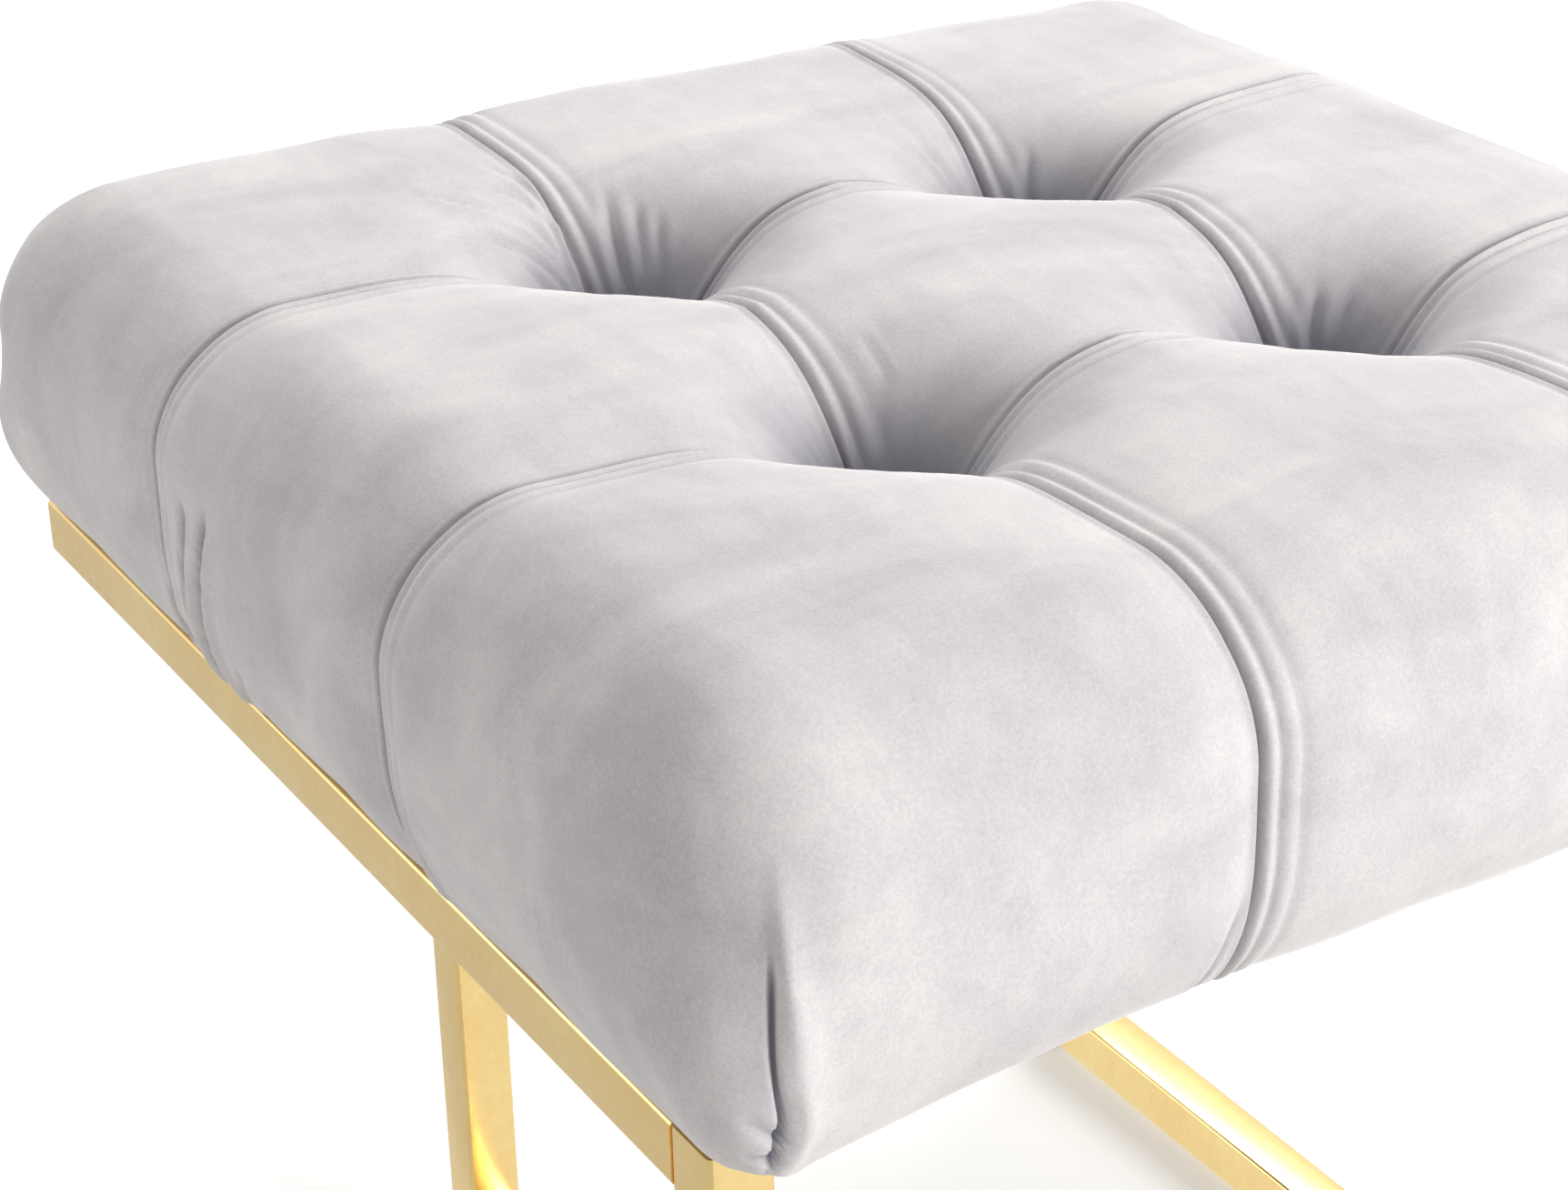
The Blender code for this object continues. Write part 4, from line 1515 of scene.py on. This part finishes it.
@dataclass(frozen=True)
class Studio:
    """The camera at the photograph's place, soft light and a pale floor."""

    camera_place: tuple[float, float, float] = (-0.6189, -0.9224, 0.8696)
    azimuth: float = 30.5177
    elevation: float = 26.6312
    roll: float = 1.2617
    lens: float = 80.09
    sensor: float = 36.0
    clip: tuple[float, float] = (0.05, 50.0)

    lamps: tuple[Lamp, ...] = (Lamp("key", (1.3, -2.0, 1.2), 0.8, 52.0),
                               Lamp("top", (1.0, 1.1, 1.9), 1.2, 22.0),
                               Lamp("side_fill", (-1.5, 1.1, 1.0), 1.0, 4.5,
                                    (-0.25, 0.15, 0.38)))
    world_light: float = 0.53
    mirrored_world: float = 0.92
    white: tuple[float, float, float, float] = (1.0, 1.0, 1.0, 1.0)

    floor_size: float = 12.0
    floor_pale: tuple[float, float, float, float] = (0.82, 0.82, 0.82, 1)
    floor_dark: tuple[float, float, float, float] = (0.80, 0.80, 0.80, 1)
    # Painted reflection: the floor's colour and glow for glossy rays alone
    floor_mirrored: tuple[float, float, float, float] = (0.10, 0.10, 0.10, 1)
    floor_grain: float = 40.0
    floor_rough: float = 0.9
    floor_specular: float = 0.1
    floor_seen: float = 0.36
    mirror_turn: tuple[float, float] = (-0.20, -0.12)
    mirror_glow: tuple[float, float] = (0.56, 0.88)

    def place_camera(self) -> None:
        """Make the camera and set it as the scene's own."""
        azimuth, elevation = math.radians(self.azimuth), math.radians(self.elevation)
        roll = math.radians(self.roll)
        ahead = Vector((math.sin(azimuth) * math.cos(elevation),
                        math.cos(azimuth) * math.cos(elevation), -math.sin(elevation)))
        right = Vector((math.cos(azimuth), -math.sin(azimuth), 0.0))
        down = ahead.cross(right)
        turned_right = math.cos(roll) * right + math.sin(roll) * down
        turned_down = -math.sin(roll) * right + math.cos(roll) * down
        turn = Matrix((turned_right, -turned_down, -ahead)).transposed()
        data = bpy.data.cameras.new("camera")
        data.lens, data.sensor_width = self.lens, self.sensor
        data.clip_start, data.clip_end = self.clip
        camera = bpy.data.objects.new("camera", data)
        camera.matrix_world = Matrix.Translation(self.camera_place) @ turn.to_4x4()
        bpy.context.scene.collection.objects.link(camera)
        bpy.context.scene.camera = camera

    def background(self, nodes: Nodes) -> bpy.types.NodeSocket:
        """How white the background is for the rays that see or mirror it.

        Args:
            nodes: The world's nodes.

        Returns:
            The strength, 0 for the rays that only light the object.
        """
        path = nodes.add("ShaderNodeLightPath")
        seen = nodes.math("MAXIMUM", path.outputs["Is Camera Ray"],
                          path.outputs["Is Transmission Ray"])
        mirrored = nodes.math("MULTIPLY", path.outputs["Is Glossy Ray"], self.mirrored_world)
        return nodes.math("MAXIMUM", seen, mirrored)

    def build(self) -> None:
        """Set up the world, the lamps, the floor and the camera."""
        scene = bpy.context.scene
        scene.view_settings.view_transform = "Standard"
        world = bpy.data.worlds.new("studio")
        scene.world = world
        world.use_nodes = True
        nodes = Nodes(world.node_tree)
        strength = nodes.math("MAXIMUM", self.background(nodes), self.world_light)
        nodes.fill(world.node_tree.nodes["Background"], Strength=strength, Color=self.white)
        for lamp in self.lamps:
            lamp.build()

        deselect_all()
        bpy.ops.mesh.primitive_plane_add(size=self.floor_size, location=(0, 0, 0))
        floor = bpy.context.active_object
        floor.name = "floor"
        floor.data.materials.append(self.floor_material())
        self.place_camera()

    def floor_material(self) -> bpy.types.Material:
        """Build a pale floor that the camera sees as white, with the stool's shadow on it.

        Polished tubes mirror it as a painted reflection: for glossy rays alone it is dark and
        glows, least dark to the right of mirror_turn.

        Returns:
            The material.
        """
        material, nodes, shader = new_material("floor")
        grain = nodes.noise(nodes.stretched((1, 1, 1)), self.floor_grain)
        pale = nodes.mix(grain, self.floor_dark, self.floor_pale)
        place = nodes.add("ShaderNodeTexCoord").outputs["Object"]
        across = nodes.add("ShaderNodeSeparateXYZ", Vector=place).outputs["X"]
        path = nodes.add("ShaderNodeLightPath").outputs
        # Painted reflection in the gold: a glow for glossy rays alone, brighter to the right
        glow = nodes.ramp(across, *self.mirror_turn, *self.mirror_glow)
        mirrored = nodes.math("MULTIPLY", glow, path["Is Glossy Ray"])
        seen = nodes.math("MULTIPLY", path["Is Camera Ray"], self.floor_seen)
        nodes.fill(shader, Roughness=self.floor_rough, Specular_IOR_Level=self.floor_specular,
                   Base_Color=nodes.mix(path["Is Glossy Ray"], pale, self.floor_mirrored),
                   Emission_Color=self.white,
                   Emission_Strength=nodes.math("MAXIMUM", mirrored, seen))
        return material


def dress(piece: bpy.types.Object, material: bpy.types.Material) -> None:
    """Give a piece one material all over.

    Args:
        piece: The piece.
        material: The material for each of its slots.
    """
    if not piece.material_slots:
        piece.data.materials.append(material)
    for slot in piece.material_slots:
        slot.material = material


def hand_in(piece: bpy.types.Object, material: bpy.types.Material, slot: Slot,
            *nodes: str) -> None:
    """Dress a finished piece, ride it on the stool's body and hide the CAD nodes that it replaces.

    Args:
        piece: The finished piece.
        material: Its material.
        slot: Not used.
        nodes: The CAD nodes that it stands for.
    """
    dress(piece, material)
    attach(piece, BODY)
    if nodes:
        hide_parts(*nodes)
    LOG.info("%s: %d faces", piece.name, len(piece.data.polygons))


def main() -> None:
    """Load the frame, build each sub-assembly and set up the studio."""
    logging.basicConfig(level=logging.INFO, format="%(message)s")
    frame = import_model()

    velvet = Velvet().make()
    gold, zinc, nylon, foam, plywood, cloth, twine = (
        finish.make() for finish in (GOLD, ZINC, NYLON, FOAM, PLYWOOD, DUST_CLOTH, TWINE))
    by_start = {"seat_screw": zinc, "tuft_washer": zinc, "tuft_twine": twine,
                "seat_board": plywood, "dust_cover": cloth, "velvet": velvet, "foam": foam}
    for name, node in frame["nodes"].items():
        material = nylon if "glide" in name else gold
        for start, finish in by_start.items():
            if name.startswith(start):
                material = finish
        dress(node, material)

    for node, tube in WeldedFrame().build().items():
        hand_in(tube, gold, Slot.GOLD, node)

    cushion = Cushion()
    cover = cushion.build_cover()
    hand_in(cover, velvet, Slot.VELVET, "velvet_cover")
    filling = cushion.build_foam()
    hand_in(filling, foam, Slot.FOAM, "foam_pad")

    underside = Underside()
    dust_cover = underside.dust_cover()
    hand_in(dust_cover, cloth, Slot.DUST_CLOTH, "dust_cover")
    hand_in(underside.staples(), zinc, Slot.ZINC)
    for node in (f"tuft_twine_{number}" for number in range(1, 5)):
        hand_in(underside.twine(node), twine, Slot.TWINE, node)

    Studio().build()


if __name__ == "__main__":
    main()
